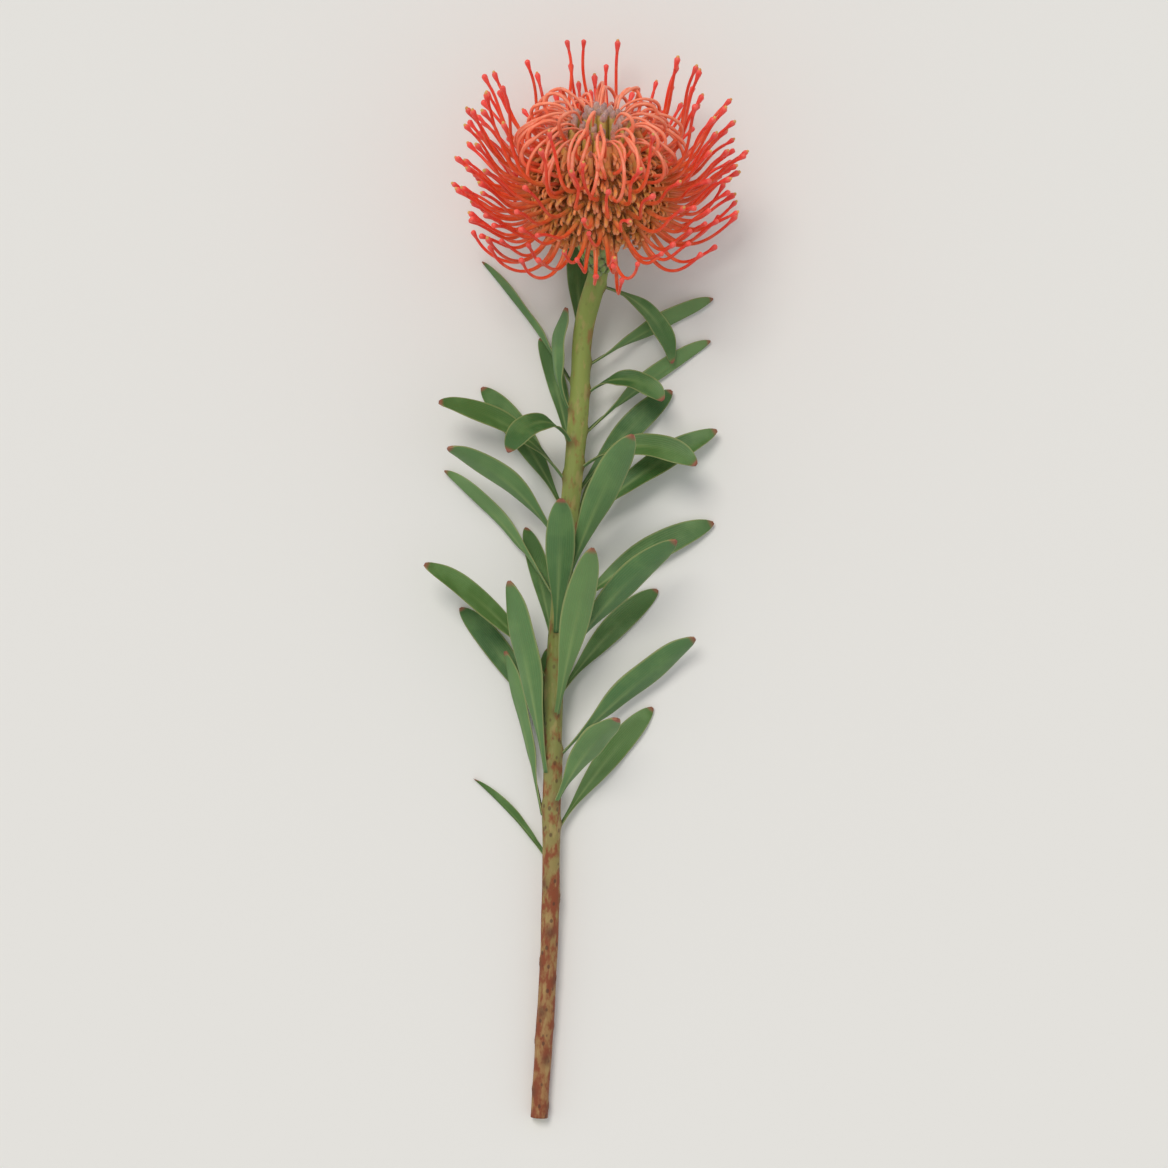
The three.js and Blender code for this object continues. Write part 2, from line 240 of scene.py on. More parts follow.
def set_uv(mesh: bpy.types.Mesh, across: np.ndarray, along: np.ndarray) -> None:
    """Give a mesh a UV map from one value pair for each point.

    Args:
        mesh: The mesh.
        across: The first coordinate of each point.
        along: The second coordinate of each point.
    """
    layer = mesh.uv_layers.new(name="UVMap")
    corners = np.zeros(len(mesh.loops), dtype=np.int32)
    mesh.loops.foreach_get("vertex_index", corners)
    pairs = np.stack([across[corners], along[corners]], axis=1)
    layer.data.foreach_set("uv", pairs.astype(np.float32).ravel())


def link_object(
    name: str, mesh: bpy.types.Mesh, material: Optional[bpy.types.Material] = None
) -> bpy.types.Object:
    """Put a mesh in the scene as an object at the origin.

    Args:
        name: The object's name.
        mesh: Its mesh.
        material: Its finish, or None where something else sets it.

    Returns:
        The object.
    """
    piece = bpy.data.objects.new(name, mesh)
    bpy.context.scene.collection.objects.link(piece)
    if material is not None:
        mesh.materials.append(material)
    return piece


def tube_faces(rings: int, sides: int) -> list[tuple[int, ...]]:
    """List the faces of a closed tube of rings, with a flat face at each end.

    Args:
        rings: The number of rings.
        sides: The points in each ring, counter-clockwise seen from the tube's far end.

    Returns:
        The point numbers of each face, which point outwards.
    """
    faces: list[tuple[int, ...]] = []
    for low in range(0, (rings - 1) * sides, sides):
        for side in range(sides):
            following = (side + 1) % sides
            faces.append((low + side, low + following, low + sides + following, low + sides + side))
    faces.append(tuple(reversed(range(sides))))
    faces.append(tuple(range((rings - 1) * sides, rings * sides)))
    return faces


def lathe(profile: Sequence[tuple[float, float]], sides: int) -> tuple[np.ndarray, list[tuple[int, ...]]]:
    """Turn a profile of radius and height round the Z axis.

    Args:
        profile: Radius and height pairs from the low end to the high end.
        sides: The points in each ring.

    Returns:
        The points and the faces.
    """
    angles = np.linspace(0, 2 * math.pi, sides, endpoint=False)
    rings = [
        np.stack([out * np.cos(angles), out * np.sin(angles), np.full(sides, up)], axis=1)
        for out, up in profile
    ]
    return np.vstack(rings), tube_faces(len(profile), sides)


# Nodes and finishes


def linear(colour: str) -> tuple[float, float, float, float]:
    """Turn an sRGB hex colour into the linear colour that a shader reads.

    Args:
        colour: Six hex digits after a #.

    Returns:
        Red, green, blue and alpha.
    """
    shares = [int(colour[k:k + 2], 16) / 255 for k in (1, 3, 5)]
    red, green, blue = (s / 12.92 if s <= 0.04045 else ((s + 0.055) / 1.055) ** 2.4 for s in shares)
    return red, green, blue, 1.0


def set_inputs(tree: bpy.types.NodeTree, node: bpy.types.Node, values: dict[Any, Any]) -> None:
    """Link or set a node's inputs.

    Args:
        tree: The tree that the node is in.
        node: The node.
        values: What each input takes, by the input's name or number: another node's output, or a constant.
    """
    for key, value in values.items():
        socket = node.inputs[key]
        if isinstance(value, bpy.types.NodeSocket):
            tree.links.new(value, socket)
        else:
            socket.default_value = value


def add_node(
    tree: bpy.types.NodeTree, kind: str, settings: Optional[dict[str, Any]] = None,
    values: Optional[dict[Any, Any]] = None,
) -> bpy.types.Node:
    """Add a node with its settings and its links.

    Args:
        tree: The tree that it goes in.
        kind: The node's type name.
        settings: Property values by property name.
        values: What its inputs take, as set_inputs reads them.

    Returns:
        The node.
    """
    node = tree.nodes.new(kind)
    for key, value in (settings or {}).items():
        setattr(node, key, value)
    set_inputs(tree, node, values or {})
    return node


def set_ramp(node: bpy.types.Node, stops: Sequence[tuple[float, str]]) -> None:
    """Fill a colour ramp.

    Args:
        node: The ramp node.
        stops: Place and sRGB hex colour of each stop, in order.
    """
    ramp = node.color_ramp
    while len(ramp.elements) < len(stops):
        ramp.elements.new(0.5)
    for element, (place, colour) in zip(ramp.elements, stops):
        element.position = place
        element.color = linear(colour)


def new_material(name: str) -> tuple[bpy.types.Material, bpy.types.NodeTree, bpy.types.Node]:
    """Start a material.

    Args:
        name: The material's name.

    Returns:
        The material, its tree and its Principled shader.
    """
    material = bpy.data.materials.new(name)
    material.use_nodes = True
    tree = material.node_tree
    return material, tree, tree.nodes["Principled BSDF"]


@dataclass(frozen=True)
class Patches:
    """Soft patches of a second colour, as living tissue has.

    size is in millimetres, amount is how much of the colour shows at most, stretch is how many times as fine
    the patches are along each axis, and they come in while the noise goes from low to high.
    """

    size: float
    colour: str
    amount: float
    stretch: tuple[float, float, float] = (1.0, 1.0, 1.0)
    low: float = 0.45
    high: float = 0.7

    def lay(
        self, tree: bpy.types.NodeTree, place: bpy.types.NodeSocket, colour: bpy.types.NodeSocket
    ) -> bpy.types.NodeSocket:
        """Lay the patches over a colour.

        Args:
            tree: The material's tree.
            place: Object coordinates.
            colour: The colour underneath.

        Returns:
            The mixed colour.
        """
        drawn_out = add_node(tree, "ShaderNodeMapping", values={"Vector": place, "Scale": self.stretch})
        noise = add_node(tree, "ShaderNodeTexNoise", values={
            "Vector": drawn_out.outputs["Vector"], "Scale": 1 / (self.size * MM), "Detail": 3.0,
        })
        share = add_node(tree, "ShaderNodeMapRange", {"interpolation_type": "SMOOTHSTEP"}, {
            "Value": noise.outputs["Fac"], "From Min": self.low, "From Max": self.high, "To Max": self.amount,
        })
        mixed = add_node(tree, "ShaderNodeMix", {"data_type": "RGBA"}, {
            "Factor": share.outputs["Result"], UNDER: colour, OVER: linear(self.colour),
        })
        return mixed.outputs[MIXED]


def lay_tints(
    tree: bpy.types.NodeTree, colour: bpy.types.NodeSocket, tints: dict[str, str]
) -> bpy.types.NodeSocket:
    """Lay colours over a colour, each as strongly as one of the piece's own values says.

    Args:
        tree: The material's tree.
        colour: The colour underneath.
        tints: An sRGB hex colour for each value, by the value's name.

    Returns:
        The mixed colour.
    """
    for name, tint in tints.items():
        share = add_node(tree, "ShaderNodeAttribute", {"attribute_name": name})
        mixed = add_node(tree, "ShaderNodeMix", {"data_type": "RGBA"}, {
            "Factor": share.outputs["Fac"], UNDER: colour, OVER: linear(tint),
        })
        colour = mixed.outputs[MIXED]
    return colour


@dataclass(frozen=True)
class Relief:
    """A fine uneven relief.

    depth and size are in millimetres, and stretch is how many times as fine it is along each axis.
    """

    depth: float
    size: float
    stretch: tuple[float, float, float] = (1.0, 1.0, 1.0)

    def press(self, tree: bpy.types.NodeTree, place: bpy.types.NodeSocket, shader: bpy.types.Node) -> None:
        """Press the relief into a shader's normal.

        Args:
            tree: The material's tree.
            place: Object coordinates.
            shader: The shader.
        """
        drawn_out = add_node(tree, "ShaderNodeMapping", values={"Vector": place, "Scale": self.stretch})
        noise = add_node(tree, "ShaderNodeTexNoise", values={
            "Vector": drawn_out.outputs["Vector"], "Scale": 1 / (self.size * MM), "Detail": 3.0,
        })
        bump = add_node(tree, "ShaderNodeBump", values={
            "Height": noise.outputs["Fac"], "Distance": self.depth * MM, "Strength": 1.0,
        })
        set_inputs(tree, shader, {"Normal": bump.outputs["Normal"]})


@dataclass(frozen=True)
class Finish:
    """A procedural finish: a ramp along the piece, patches over it, and a fine relief.

    The ramp follows the piece's "along" value, and one stop alone is one colour all over. tone is how much
    lighter or darker each grown copy may be than the next, and scatter_depth is in millimetres.
    """

    name: str
    stops: tuple[tuple[float, str], ...]
    patches: tuple[Patches, ...] = ()
    tone: float = 0.0
    roughness: float = 0.5
    sheen: float = 0.0
    sheen_colour: str = "#ffffff"
    scatter: float = 0.0
    scatter_depth: float = 1.0
    relief: Optional[Relief] = None

    def build(self) -> bpy.types.Material:
        """Build the material.

        Returns:
            The material.
        """
        material, tree, shader = new_material(self.name)
        place = add_node(tree, "ShaderNodeTexCoord").outputs["Object"]
        colour: Any = linear(self.stops[0][1])
        if len(self.stops) > 1:
            along = add_node(tree, "ShaderNodeAttribute", {"attribute_name": "along"})
            ramp = add_node(tree, "ShaderNodeValToRGB", values={"Fac": along.outputs["Fac"]})
            set_ramp(ramp, self.stops)
            colour = ramp.outputs["Color"]
        for patches in self.patches:
            colour = patches.lay(tree, place, colour)
        if self.tone:
            tone = add_node(tree, "ShaderNodeAttribute", {"attribute_name": "tone"})
            value = add_node(tree, "ShaderNodeMapRange", values={
                "Value": tone.outputs["Fac"], "To Min": 1 - self.tone, "To Max": 1 + self.tone,
            })
            toned = add_node(tree, "ShaderNodeHueSaturation", values={
                "Value": value.outputs["Result"], "Color": colour,
            })
            colour = toned.outputs["Color"]
        set_inputs(tree, shader, {
            "Base Color": colour, "Roughness": self.roughness, "Sheen Weight": self.sheen,
            "Sheen Tint": linear(self.sheen_colour), "Subsurface Weight": self.scatter,
            "Subsurface Scale": self.scatter_depth * MM,
        })
        if self.relief:
            self.relief.press(tree, place, shader)
        return material


# Geometry Nodes


class Growth:
    """A Geometry Nodes tree that turns a carrier mesh into finished geometry."""

    def __init__(self, name: str) -> None:
        """Start the tree with a Geometry input and output.

        Args:
            name: The tree's name.
        """
        self.tree = bpy.data.node_groups.new(name, "GeometryNodeTree")
        self.tree.interface.new_socket("Geometry", in_out="INPUT", socket_type="NodeSocketGeometry")
        self.tree.interface.new_socket("Geometry", in_out="OUTPUT", socket_type="NodeSocketGeometry")
        self.sockets: dict[str, str] = {}
        self.group_input = add_node(self.tree, "NodeGroupInput")

    def ask(self, name: str, kind: str) -> bpy.types.NodeSocket:
        """Add a named input.

        Args:
            name: The input's name.
            kind: Its socket type.

        Returns:
            The output of the group input node that gives its value.
        """
        item = self.tree.interface.new_socket(name, in_out="INPUT", socket_type=kind)
        self.sockets[name] = item.identifier
        return self.group_input.outputs[name]

    def carried(self, name: str, kind: str = "FLOAT") -> bpy.types.NodeSocket:
        """Read an attribute of the carrier mesh.

        Args:
            name: The attribute's name.
            kind: Its data type.

        Returns:
            The output that gives it.
        """
        node = add_node(self.tree, "GeometryNodeInputNamedAttribute", {"data_type": kind}, {"Name": name})
        return node.outputs["Attribute"]

    def end(self, geometry: bpy.types.NodeSocket, material: bpy.types.NodeSocket) -> None:
        """End the tree in real, smooth geometry with its material.

        Args:
            geometry: The geometry so far.
            material: The material input.
        """
        real = add_node(self.tree, "GeometryNodeRealizeInstances", values={"Geometry": geometry})
        smooth = add_node(self.tree, "GeometryNodeSetShadeSmooth", values={
            "Geometry": real.outputs["Geometry"],
        })
        dressed = add_node(self.tree, "GeometryNodeSetMaterial", values={
            "Geometry": smooth.outputs["Geometry"], "Material": material,
        })
        add_node(self.tree, "NodeGroupOutput", values={"Geometry": dressed.outputs["Geometry"]})

    def grow(
        self, name: str, carrier: bpy.types.Mesh, material: bpy.types.Material, **inputs: Any
    ) -> bpy.types.Object:
        """Run the tree on a carrier mesh and keep the result as a plain mesh object.

        Args:
            name: The new object's name.
            carrier: The mesh that the tree starts from.
            material: The finish.
            inputs: The tree's other inputs, by name with _ for spaces.

        Returns:
            The object with the grown mesh.
        """
        piece = link_object(name, carrier)
        modifier = piece.modifiers.new("growth", "NODES")
        modifier.node_group = self.tree
        modifier[self.sockets["Material"]] = material
        for key, value in inputs.items():
            modifier[self.sockets[key.replace("_", " ")]] = value
        graph = bpy.context.evaluated_depsgraph_get()
        grown = bpy.data.meshes.new_from_object(
            piece.evaluated_get(graph), preserve_all_data_layers=True, depsgraph=graph
        )
        grown.materials.clear()
        grown.materials.append(material)
        piece.modifiers.remove(modifier)
        piece.data = grown
        bpy.data.meshes.remove(carrier)
        grown.name = name
        return piece


@cache
def tube_growth() -> Growth:
    """Build the tree that skins lines with round tubes, as thick at each point as the line says.

    Returns:
        The tree, whose inputs are Sides and Material.
    """
    growth = Growth("skin_lines_with_tubes")
    sides = growth.ask("Sides", "NodeSocketInt")
    material = growth.ask("Material", "NodeSocketMaterial")
    tree = growth.tree
    line = add_node(tree, "GeometryNodeMeshToCurve", values={"Mesh": growth.group_input.outputs["Geometry"]})
    circle = add_node(tree, "GeometryNodeCurvePrimitiveCircle", values={"Resolution": sides, "Radius": 1.0})
    skin = add_node(tree, "GeometryNodeCurveToMesh", values={
        "Curve": line.outputs["Curve"], "Profile Curve": circle.outputs["Curve"],
        "Scale": growth.carried("radius"), "Fill Caps": True,
    })
    growth.end(skin.outputs["Mesh"], material)
    return growth


@cache
def copy_growth() -> Growth:
    """Build the tree that sets copies of a few shapes on points, each turned and scaled as its point says.

    Returns:
        The tree, whose inputs are Shapes and Material.
    """
    growth = Growth("set_shapes_on_points")
    shapes = growth.ask("Shapes", "NodeSocketCollection")
    material = growth.ask("Material", "NodeSocketMaterial")
    tree = growth.tree
    chosen = add_node(tree, "GeometryNodeCollectionInfo", {"transform_space": "RELATIVE"}, {
        "Collection": shapes, "Separate Children": True, "Reset Children": True,
    })
    points = add_node(tree, "GeometryNodeMeshToPoints", values={
        "Mesh": growth.group_input.outputs["Geometry"],
    })
    copies = add_node(tree, "GeometryNodeInstanceOnPoints", values={
        "Points": points.outputs["Points"], "Instance": chosen.outputs["Instances"], "Pick Instance": True,
        "Instance Index": growth.carried("pick"), "Rotation": growth.carried("turn", "FLOAT_VECTOR"),
        "Scale": growth.carried("size"),
    })
    growth.end(copies.outputs["Instances"], material)
    return growth


@cache
def wool_growth() -> Growth:
    """Build the tree that covers faces with short tapering hairs.

    Returns:
        The tree, whose inputs are Density, Length, Thickness, Lean, Seed and Material.
    """
    growth = Growth("cover_with_short_hairs")
    density = growth.ask("Density", "NodeSocketFloat")
    length = growth.ask("Length", "NodeSocketFloat")
    thickness = growth.ask("Thickness", "NodeSocketFloat")
    lean = growth.ask("Lean", "NodeSocketFloat")
    seed = growth.ask("Seed", "NodeSocketInt")
    material = growth.ask("Material", "NodeSocketMaterial")
    tree = growth.tree
    roots = add_node(tree, "GeometryNodeDistributePointsOnFaces", {"distribute_method": "RANDOM"}, {
        "Mesh": growth.group_input.outputs["Geometry"], "Density": density, "Seed": seed,
    })
    hair = add_node(tree, "GeometryNodeMeshCone", {"fill_type": "NGON"}, {
        "Vertices": 3, "Side Segments": 1, "Radius Top": 0.0, "Radius Bottom": thickness, "Depth": length,
    })
    wander = add_node(tree, "FunctionNodeRandomValue", {"data_type": "FLOAT_VECTOR"}, {
        0: (-1.0, -1.0, -1.0), 1: (1.0, 1.0, 1.0), "Seed": seed,
    })
    aside = add_node(tree, "ShaderNodeVectorMath", {"operation": "SCALE"}, {
        0: wander.outputs[0], "Scale": lean,
    })
    way = add_node(tree, "ShaderNodeVectorMath", {"operation": "ADD"}, {
        0: roots.outputs["Normal"], 1: aside.outputs["Vector"],
    })
    turn = add_node(tree, "FunctionNodeAlignRotationToVector", {"axis": "Z"}, {
        "Vector": way.outputs["Vector"],
    })
    shortest, longest = 0.6, 1.3
    size = add_node(tree, "FunctionNodeRandomValue", {"data_type": "FLOAT"}, {
        2: shortest, 3: longest, "Seed": seed,
    })
    hairs = add_node(tree, "GeometryNodeInstanceOnPoints", values={
        "Points": roots.outputs["Points"], "Instance": hair.outputs["Mesh"],
        "Rotation": turn.outputs["Rotation"], "Scale": size.outputs[1],
    })
    growth.end(hairs.outputs["Instances"], material)
    return growth


@dataclass(frozen=True)
class Wool:
    """A coat of short hairs: how many stand on a square metre, and their size in millimetres."""

    density: float
    long: float = 0.7
    thick: float = 0.04
    lean: float = 0.8
    seed: int = 7

    def cover(self, name: str, coated: bpy.types.Object, hair: bpy.types.Material) -> bpy.types.Object:
        """Grow the hairs on a piece.

        Args:
            name: The name of the hairs' own piece.
            coated: The piece that they cover.
            hair: Their finish.

        Returns:
            The piece of hairs.
        """
        return wool_growth().grow(
            name, coated.data.copy(), hair, Density=self.density, Length=self.long * MM,
            Thickness=self.thick * MM, Lean=self.lean, Seed=self.seed,
        )


class Shapes:
    """A few helper shapes that copies are made of, taken away once the copies are real."""

    def __init__(self, name: str, meshes: Sequence[bpy.types.Mesh]) -> None:
        """Put the shapes in a collection of their own.

        Args:
            name: The collection's name.
            meshes: The shapes.
        """
        self.collection = bpy.data.collections.new(name)
        bpy.context.scene.collection.children.link(self.collection)
        for number, mesh in enumerate(meshes):
            self.collection.objects.link(bpy.data.objects.new(f"{name}_{number:02d}", mesh))

    def remove(self) -> None:
        """Take the shapes out of the file."""
        for shape in list(self.collection.objects):
            mesh = shape.data
            bpy.data.objects.remove(shape)
            bpy.data.meshes.remove(mesh)
        bpy.data.collections.remove(self.collection)


def keep(piece: bpy.types.Object, slot: Slot, *nodes: str) -> bpy.types.Object:
    """Tie a finished piece to the frame and report it.

    Args:
        piece: The piece.
        slot: The record's slot that its finish comes from; not used.
        nodes: The CAD nodes that it stands for.

    Returns:
        The piece.
    """
    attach(piece, BODY)
    if nodes:
        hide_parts(*nodes)
    piece.data.calc_loop_triangles()
    LOG.info("%s: %d triangles, stands for %d nodes", piece.name, len(piece.data.loop_triangles), len(nodes))
    return piece


# The finishes

# Free style: smooth waxy skin, tan-orange between the claws and coral red above, with a soft highlight.
STYLE_SKIN = Finish(
    name="waxy_style_skin",
    stops=(
        (0.0, "#bd8a40"), (0.14, "#e0864a"), (0.3, "#ee6834"), (0.6, "#f24e26"), (0.88, "#f34026"),
        (1.0, "#f44030"),
    ),
    patches=(Patches(7.0, "#ff8a60", 0.38), Patches(2.2, "#dc3d22", 0.3)),
    tone=0.14,
    roughness=0.36,
    scatter=0.15,
    scatter_depth=0.8,
    relief=Relief(0.03, 0.5),
)

# Bowed style: the same waxy skin, paler and pinker over the top of its bow, a painted highlight where the
# light falls on the bow.
HOOP_SKIN = replace(
    STYLE_SKIN,
    name="waxy_bowed_style_skin",
    stops=(
        (0.0, "#f09a74"), (0.12, "#ff9674"), (0.45, "#ff8c68"), (0.75, "#fc6c46"), (0.9, "#ee6a3a"),
        (1.0, "#d8763a"),
    ),
    patches=(Patches(6.0, "#ffae8c", 0.5), Patches(2.2, "#f05a36", 0.3)),
    tone=0.12,
)

# Pollen presenter: satin coral-pink club with a small dull yellow-green stigma bead on some of them.
PRESENTER_SKIN = replace(
    STYLE_SKIN,
    name="satin_pollen_presenter",
    stops=(
        (0.0, "#f5482f"), (0.35, "#f8483a"), (0.6, "#fb5048"), (0.84, "#f85a4a"), (0.9, "#e0944a"),
        (1.0, "#d6b656"),
    ),
    patches=(Patches(1.4, "#fd7c70", 0.35),),
    tone=0.12,
    roughness=0.4,
    relief=Relief(0.05, 0.35),
)

# Claw: dull tan-orange felt, darker brown towards its foot as painted shade where it sits deep between its
# neighbours, with short hairs that soften its edge.
CLAW_FELT = Finish(
    name="felted_perianth_claws",
    stops=(
        (0.0, "#b06a1e"), (0.2, "#dc8232"), (0.42, "#f89a54"), (0.66, "#ffb482"), (0.86, "#ffaa84"),
        (1.0, "#ea9876"),
    ),
    patches=(Patches(3.4, "#cc6832", 0.4), Patches(1.3, "#fbc49c", 0.35), Patches(5.0, "#c4a83e", 0.5)),
    tone=0.18,
    roughness=0.85,
    sheen=0.3,
    sheen_colour="#ffe2cc",
    relief=Relief(0.14, 0.45),
)

# Perianth tube near the apex: juicy yellow-green skin under thin felt, so it is the least dull of the felts.
GREEN_TUBE = Finish(
    name="juicy_green_perianth_tube",
    stops=((0.0, "#a88a34"), (0.5, "#d0b44a"), (0.8, "#e0c65c"), (1.0, "#e8cc7c")),
    patches=(Patches(4.0, "#e0984e", 0.35), Patches(1.5, "#c4b848", 0.35)),
    tone=0.12,
    roughness=0.6,
    sheen=0.2,
    relief=Relief(0.1, 0.6),
)

# Perianth tube lower down: the same tube, dried tan-orange under thicker felt, with yellow patches left.
TAN_TUBE = Finish(
    name="felted_tan_perianth_tube",
    stops=((0.0, "#a05c20"), (0.45, "#cc7c34"), (0.75, "#e89c54"), (1.0, "#f0ac6c")),
    patches=(Patches(4.0, "#ccb848", 0.6), Patches(1.5, "#f2b07c", 0.4)),
    tone=0.16,
    roughness=0.8,
    sheen=0.3,
    sheen_colour="#ffe2cc",
    relief=Relief(0.14, 0.5),
)

# Closed limb: grey-mauve skin under a dense coat of short silvery hairs, which gives it a pale soft rim.
BUD_FELT = Finish(
    name="grey_mauve_woolly_limb",
    stops=((0.0, "#e2b88c"), (0.3, "#dcb09a"), (0.7, "#c49890"), (1.0, "#a07c80")),
    patches=(Patches(1.2, "#ecd2c2", 0.45),),
    tone=0.14,
    roughness=0.9,
    sheen=0.4,
    relief=Relief(0.15, 0.35),
)

# Limb of an opening floret: the same woolly skin, flushed tan and pink.
LIMB_FELT = replace(
    BUD_FELT,
    name="tan_woolly_limb",
    stops=((0.0, "#d79a62"), (0.4, "#e09674"), (0.75, "#cc8470"), (1.0, "#b07a72")),
    patches=(Patches(1.4, "#f0bfa4", 0.5),),
    sheen_colour="#ffe8dc",
)

# Hair on the limbs and the claws: fine, pale and dull, so that it softens the outline of what it covers.
SILVER_HAIR = Finish(
    name="silvery_hair",
    stops=((0.0, "#e6ccbc"),),
    patches=(Patches(2.5, "#c8a69e", 0.6),),
    roughness=0.8,
    sheen=0.3,
)
TAN_HAIR = replace(
    SILVER_HAIR, name="tan_hair", stops=((0.0, "#f2b07e"),), patches=(Patches(3.0, "#d88048", 0.6),)
)

# Hair on the bracts: grey-green down, which makes the collar look dusty.
BRACT_HAIR = Finish(
    name="grey_green_bract_hair",
    stops=((0.0, "#b4bb8e"),),
    patches=(Patches(3.0, "#94a06c", 0.6),),
    roughness=0.8,
    sheen=0.2,
)

# Wool between the florets: matted dull felt, brown-orange where the claws stand and yellower at both ends.
BASE_FELT = Finish(
    name="matted_floret_wool",
    stops=((0.0, "#b0904c"), (0.14, "#b08440"), (0.3, "#bc7430"), (0.75, "#bc7430"), (1.0, "#bc9c40")),
    patches=(Patches(3.0, "#cf7c3c", 0.5), Patches(6.0, "#b4963c", 0.5)),
    roughness=0.95,
    sheen=0.3,
    sheen_colour="#ffe2cc",
    relief=Relief(0.5, 1.2),
)

# Bract: fresh green scale that lies close, with a small dry brown point, dull under short wool.
BRACT_FELT = Finish(
    name="woolly_bract",
    stops=((0.0, "#6f8a3c"), (0.5, "#86a04e"), (0.8, "#8b9c5a"), (0.93, "#6f6a3e"), (1.0, "#46341e")),
    patches=(Patches(4.0, "#a3ab7c", 0.5),),
    tone=0.18,
    roughness=0.85,
    sheen=0.3,
    relief=Relief(0.15, 0.6),
)

# Fresh cut wood: moist and pale, yellower at the pith, with a thin dark ring of bark.
CUT_WOOD = Finish(
    name="fresh_cut_wood",
    stops=(
        (0.0, "#b79a5e"), (0.2, "#c9b27a"), (0.26, "#dccf9c"), (0.8, "#d5cb94"), (0.88, "#9aa05a"),
        (0.95, "#6b4a2c"), (1.0, "#5b3322"),
    ),
    patches=(Patches(0.8, "#b9a56b", 0.4),),
    roughness=0.6,
    relief=Relief(0.08, 0.4),
)


@dataclass(frozen=True)
class Bark:
    """Young bark: green under the head, flushed and speckled red-brown towards the cut end.

    The skin is matt with fine lengthwise wrinkles, so it gives no sharp highlight. Sizes are in millimetres.
    The ramps, and what ends in reach, go by the share of the way from the cut end to the head.
    """

    green: tuple[tuple[float, str], ...] = (
        (0.0, "#a27548"), (0.2, "#9c7c4a"), (0.34, "#90864c"), (0.46, "#868c4a"), (0.8, "#8c984a"),
        (1.0, "#8a9c4a"),
    )
    rust: tuple[tuple[float, str], ...] = (
        (0.0, "#86401f"), (0.34, "#8a4522"), (0.5, "#8f6234"), (1.0, "#967c42"),
    )
    rust_size: float = 5.5
    rust_stretch: tuple[float, float, float] = (0.55, 1.0, 1.0)
    rust_from: float = 0.53
    rust_to: float = 0.69
    rust_more: float = 0.15
    rust_more_reach: tuple[float, float] = (0.5, 0.2)
    pale: Patches = Patches(3.2, "#b39a62", 0.5, stretch=(0.35, 1.0, 1.0), low=0.54, high=0.66)
    speck_size: float = 3.6
    speck_stretch: tuple[float, float, float] = (0.7, 1.0, 1.0)
    speck_colour: str = "#53301c"
    speck_radii: tuple[float, float] = (0.27, 0.15)
    speck_amounts: tuple[float, float] = (0.75, 0.15)
    speck_reach: tuple[float, float] = (0.3, 0.8)
    node_colour: str = "#643c24"
    wrinkles: Relief = Relief(0.16, 0.9, stretch=(0.12, 1.0, 1.0))
    roughness: float = 0.62

    def build(self) -> bpy.types.Material:
        """Build the material.

        Returns:
            The material.
        """
        material, tree, shader = new_material("young_protea_bark")
        place = add_node(tree, "ShaderNodeTexCoord").outputs["Object"]
        height = add_node(tree, "ShaderNodeAttribute", {"attribute_name": "along"}).outputs["Fac"]
        green = add_node(tree, "ShaderNodeValToRGB", values={"Fac": height})
        set_ramp(green, self.green)
        rust = add_node(tree, "ShaderNodeValToRGB", values={"Fac": height})
        set_ramp(rust, self.rust)
        fades, full = self.rust_more_reach
        more = add_node(tree, "ShaderNodeMapRange", values={
            "Value": height, "From Min": fades, "From Max": full, "To Min": 0.0, "To Max": self.rust_more,
        })
        drawn_out = add_node(tree, "ShaderNodeMapping", values={"Vector": place, "Scale": self.rust_stretch})
        mottle = add_node(tree, "ShaderNodeTexNoise", values={
            "Vector": drawn_out.outputs["Vector"], "Scale": 1 / (self.rust_size * MM), "Detail": 5.0,
            "Roughness": 0.6,
        })
        flush = add_node(tree, "ShaderNodeMath", {"operation": "ADD"}, {
            0: mottle.outputs["Fac"], 1: more.outputs["Result"],
        })
        share = add_node(tree, "ShaderNodeMapRange", {"interpolation_type": "SMOOTHSTEP"}, {
            "Value": flush.outputs["Value"], "From Min": self.rust_from, "From Max": self.rust_to,
        })
        flushed = add_node(tree, "ShaderNodeMix", {"data_type": "RGBA"}, {
            "Factor": share.outputs["Result"], UNDER: green.outputs["Color"], OVER: rust.outputs["Color"],
        })
        colour = self.pale.lay(tree, place, flushed.outputs[MIXED])
        colour = self.specked(tree, place, height, colour)
        colour = lay_tints(tree, colour, {"node": self.node_colour})
        set_inputs(tree, shader, {"Base Color": colour, "Roughness": self.roughness})
        self.wrinkles.press(tree, place, shader)
        return material

    def specked(
        self, tree: bpy.types.NodeTree, place: bpy.types.NodeSocket, height: bpy.types.NodeSocket,
        colour: bpy.types.NodeSocket,
    ) -> bpy.types.NodeSocket:
        """Strew small dark specks over a colour, stronger towards the cut end.

        Args:
            tree: The material's tree.
            place: Object coordinates.
            height: The share of the way from the cut end to the head.
            colour: The colour underneath.

        Returns:
            The mixed colour.
        """
        drawn_out = add_node(tree, "ShaderNodeMapping", values={"Vector": place, "Scale": self.speck_stretch})
        speck = add_node(tree, "ShaderNodeTexVoronoi", {"feature": "F1"}, {
            "Vector": drawn_out.outputs["Vector"], "Scale": 1 / (self.speck_size * MM), "Randomness": 1.0,
        })
        low, high = self.speck_reach
        most, least = self.speck_amounts
        depth = add_node(tree, "ShaderNodeMapRange", values={
            "Value": height, "From Min": low, "From Max": high, "To Min": most, "To Max": least,
        })
        outer, inner = self.speck_radii
        share = add_node(tree, "ShaderNodeMapRange", {"interpolation_type": "SMOOTHSTEP"}, {
            "Value": speck.outputs["Distance"], "From Min": outer, "From Max": inner,
            "To Max": depth.outputs["Result"],
        })
        specked = add_node(tree, "ShaderNodeMix", {"data_type": "RGBA"}, {
            "Factor": share.outputs["Result"], UNDER: colour, OVER: linear(self.speck_colour),
        })
        return specked.outputs[MIXED]


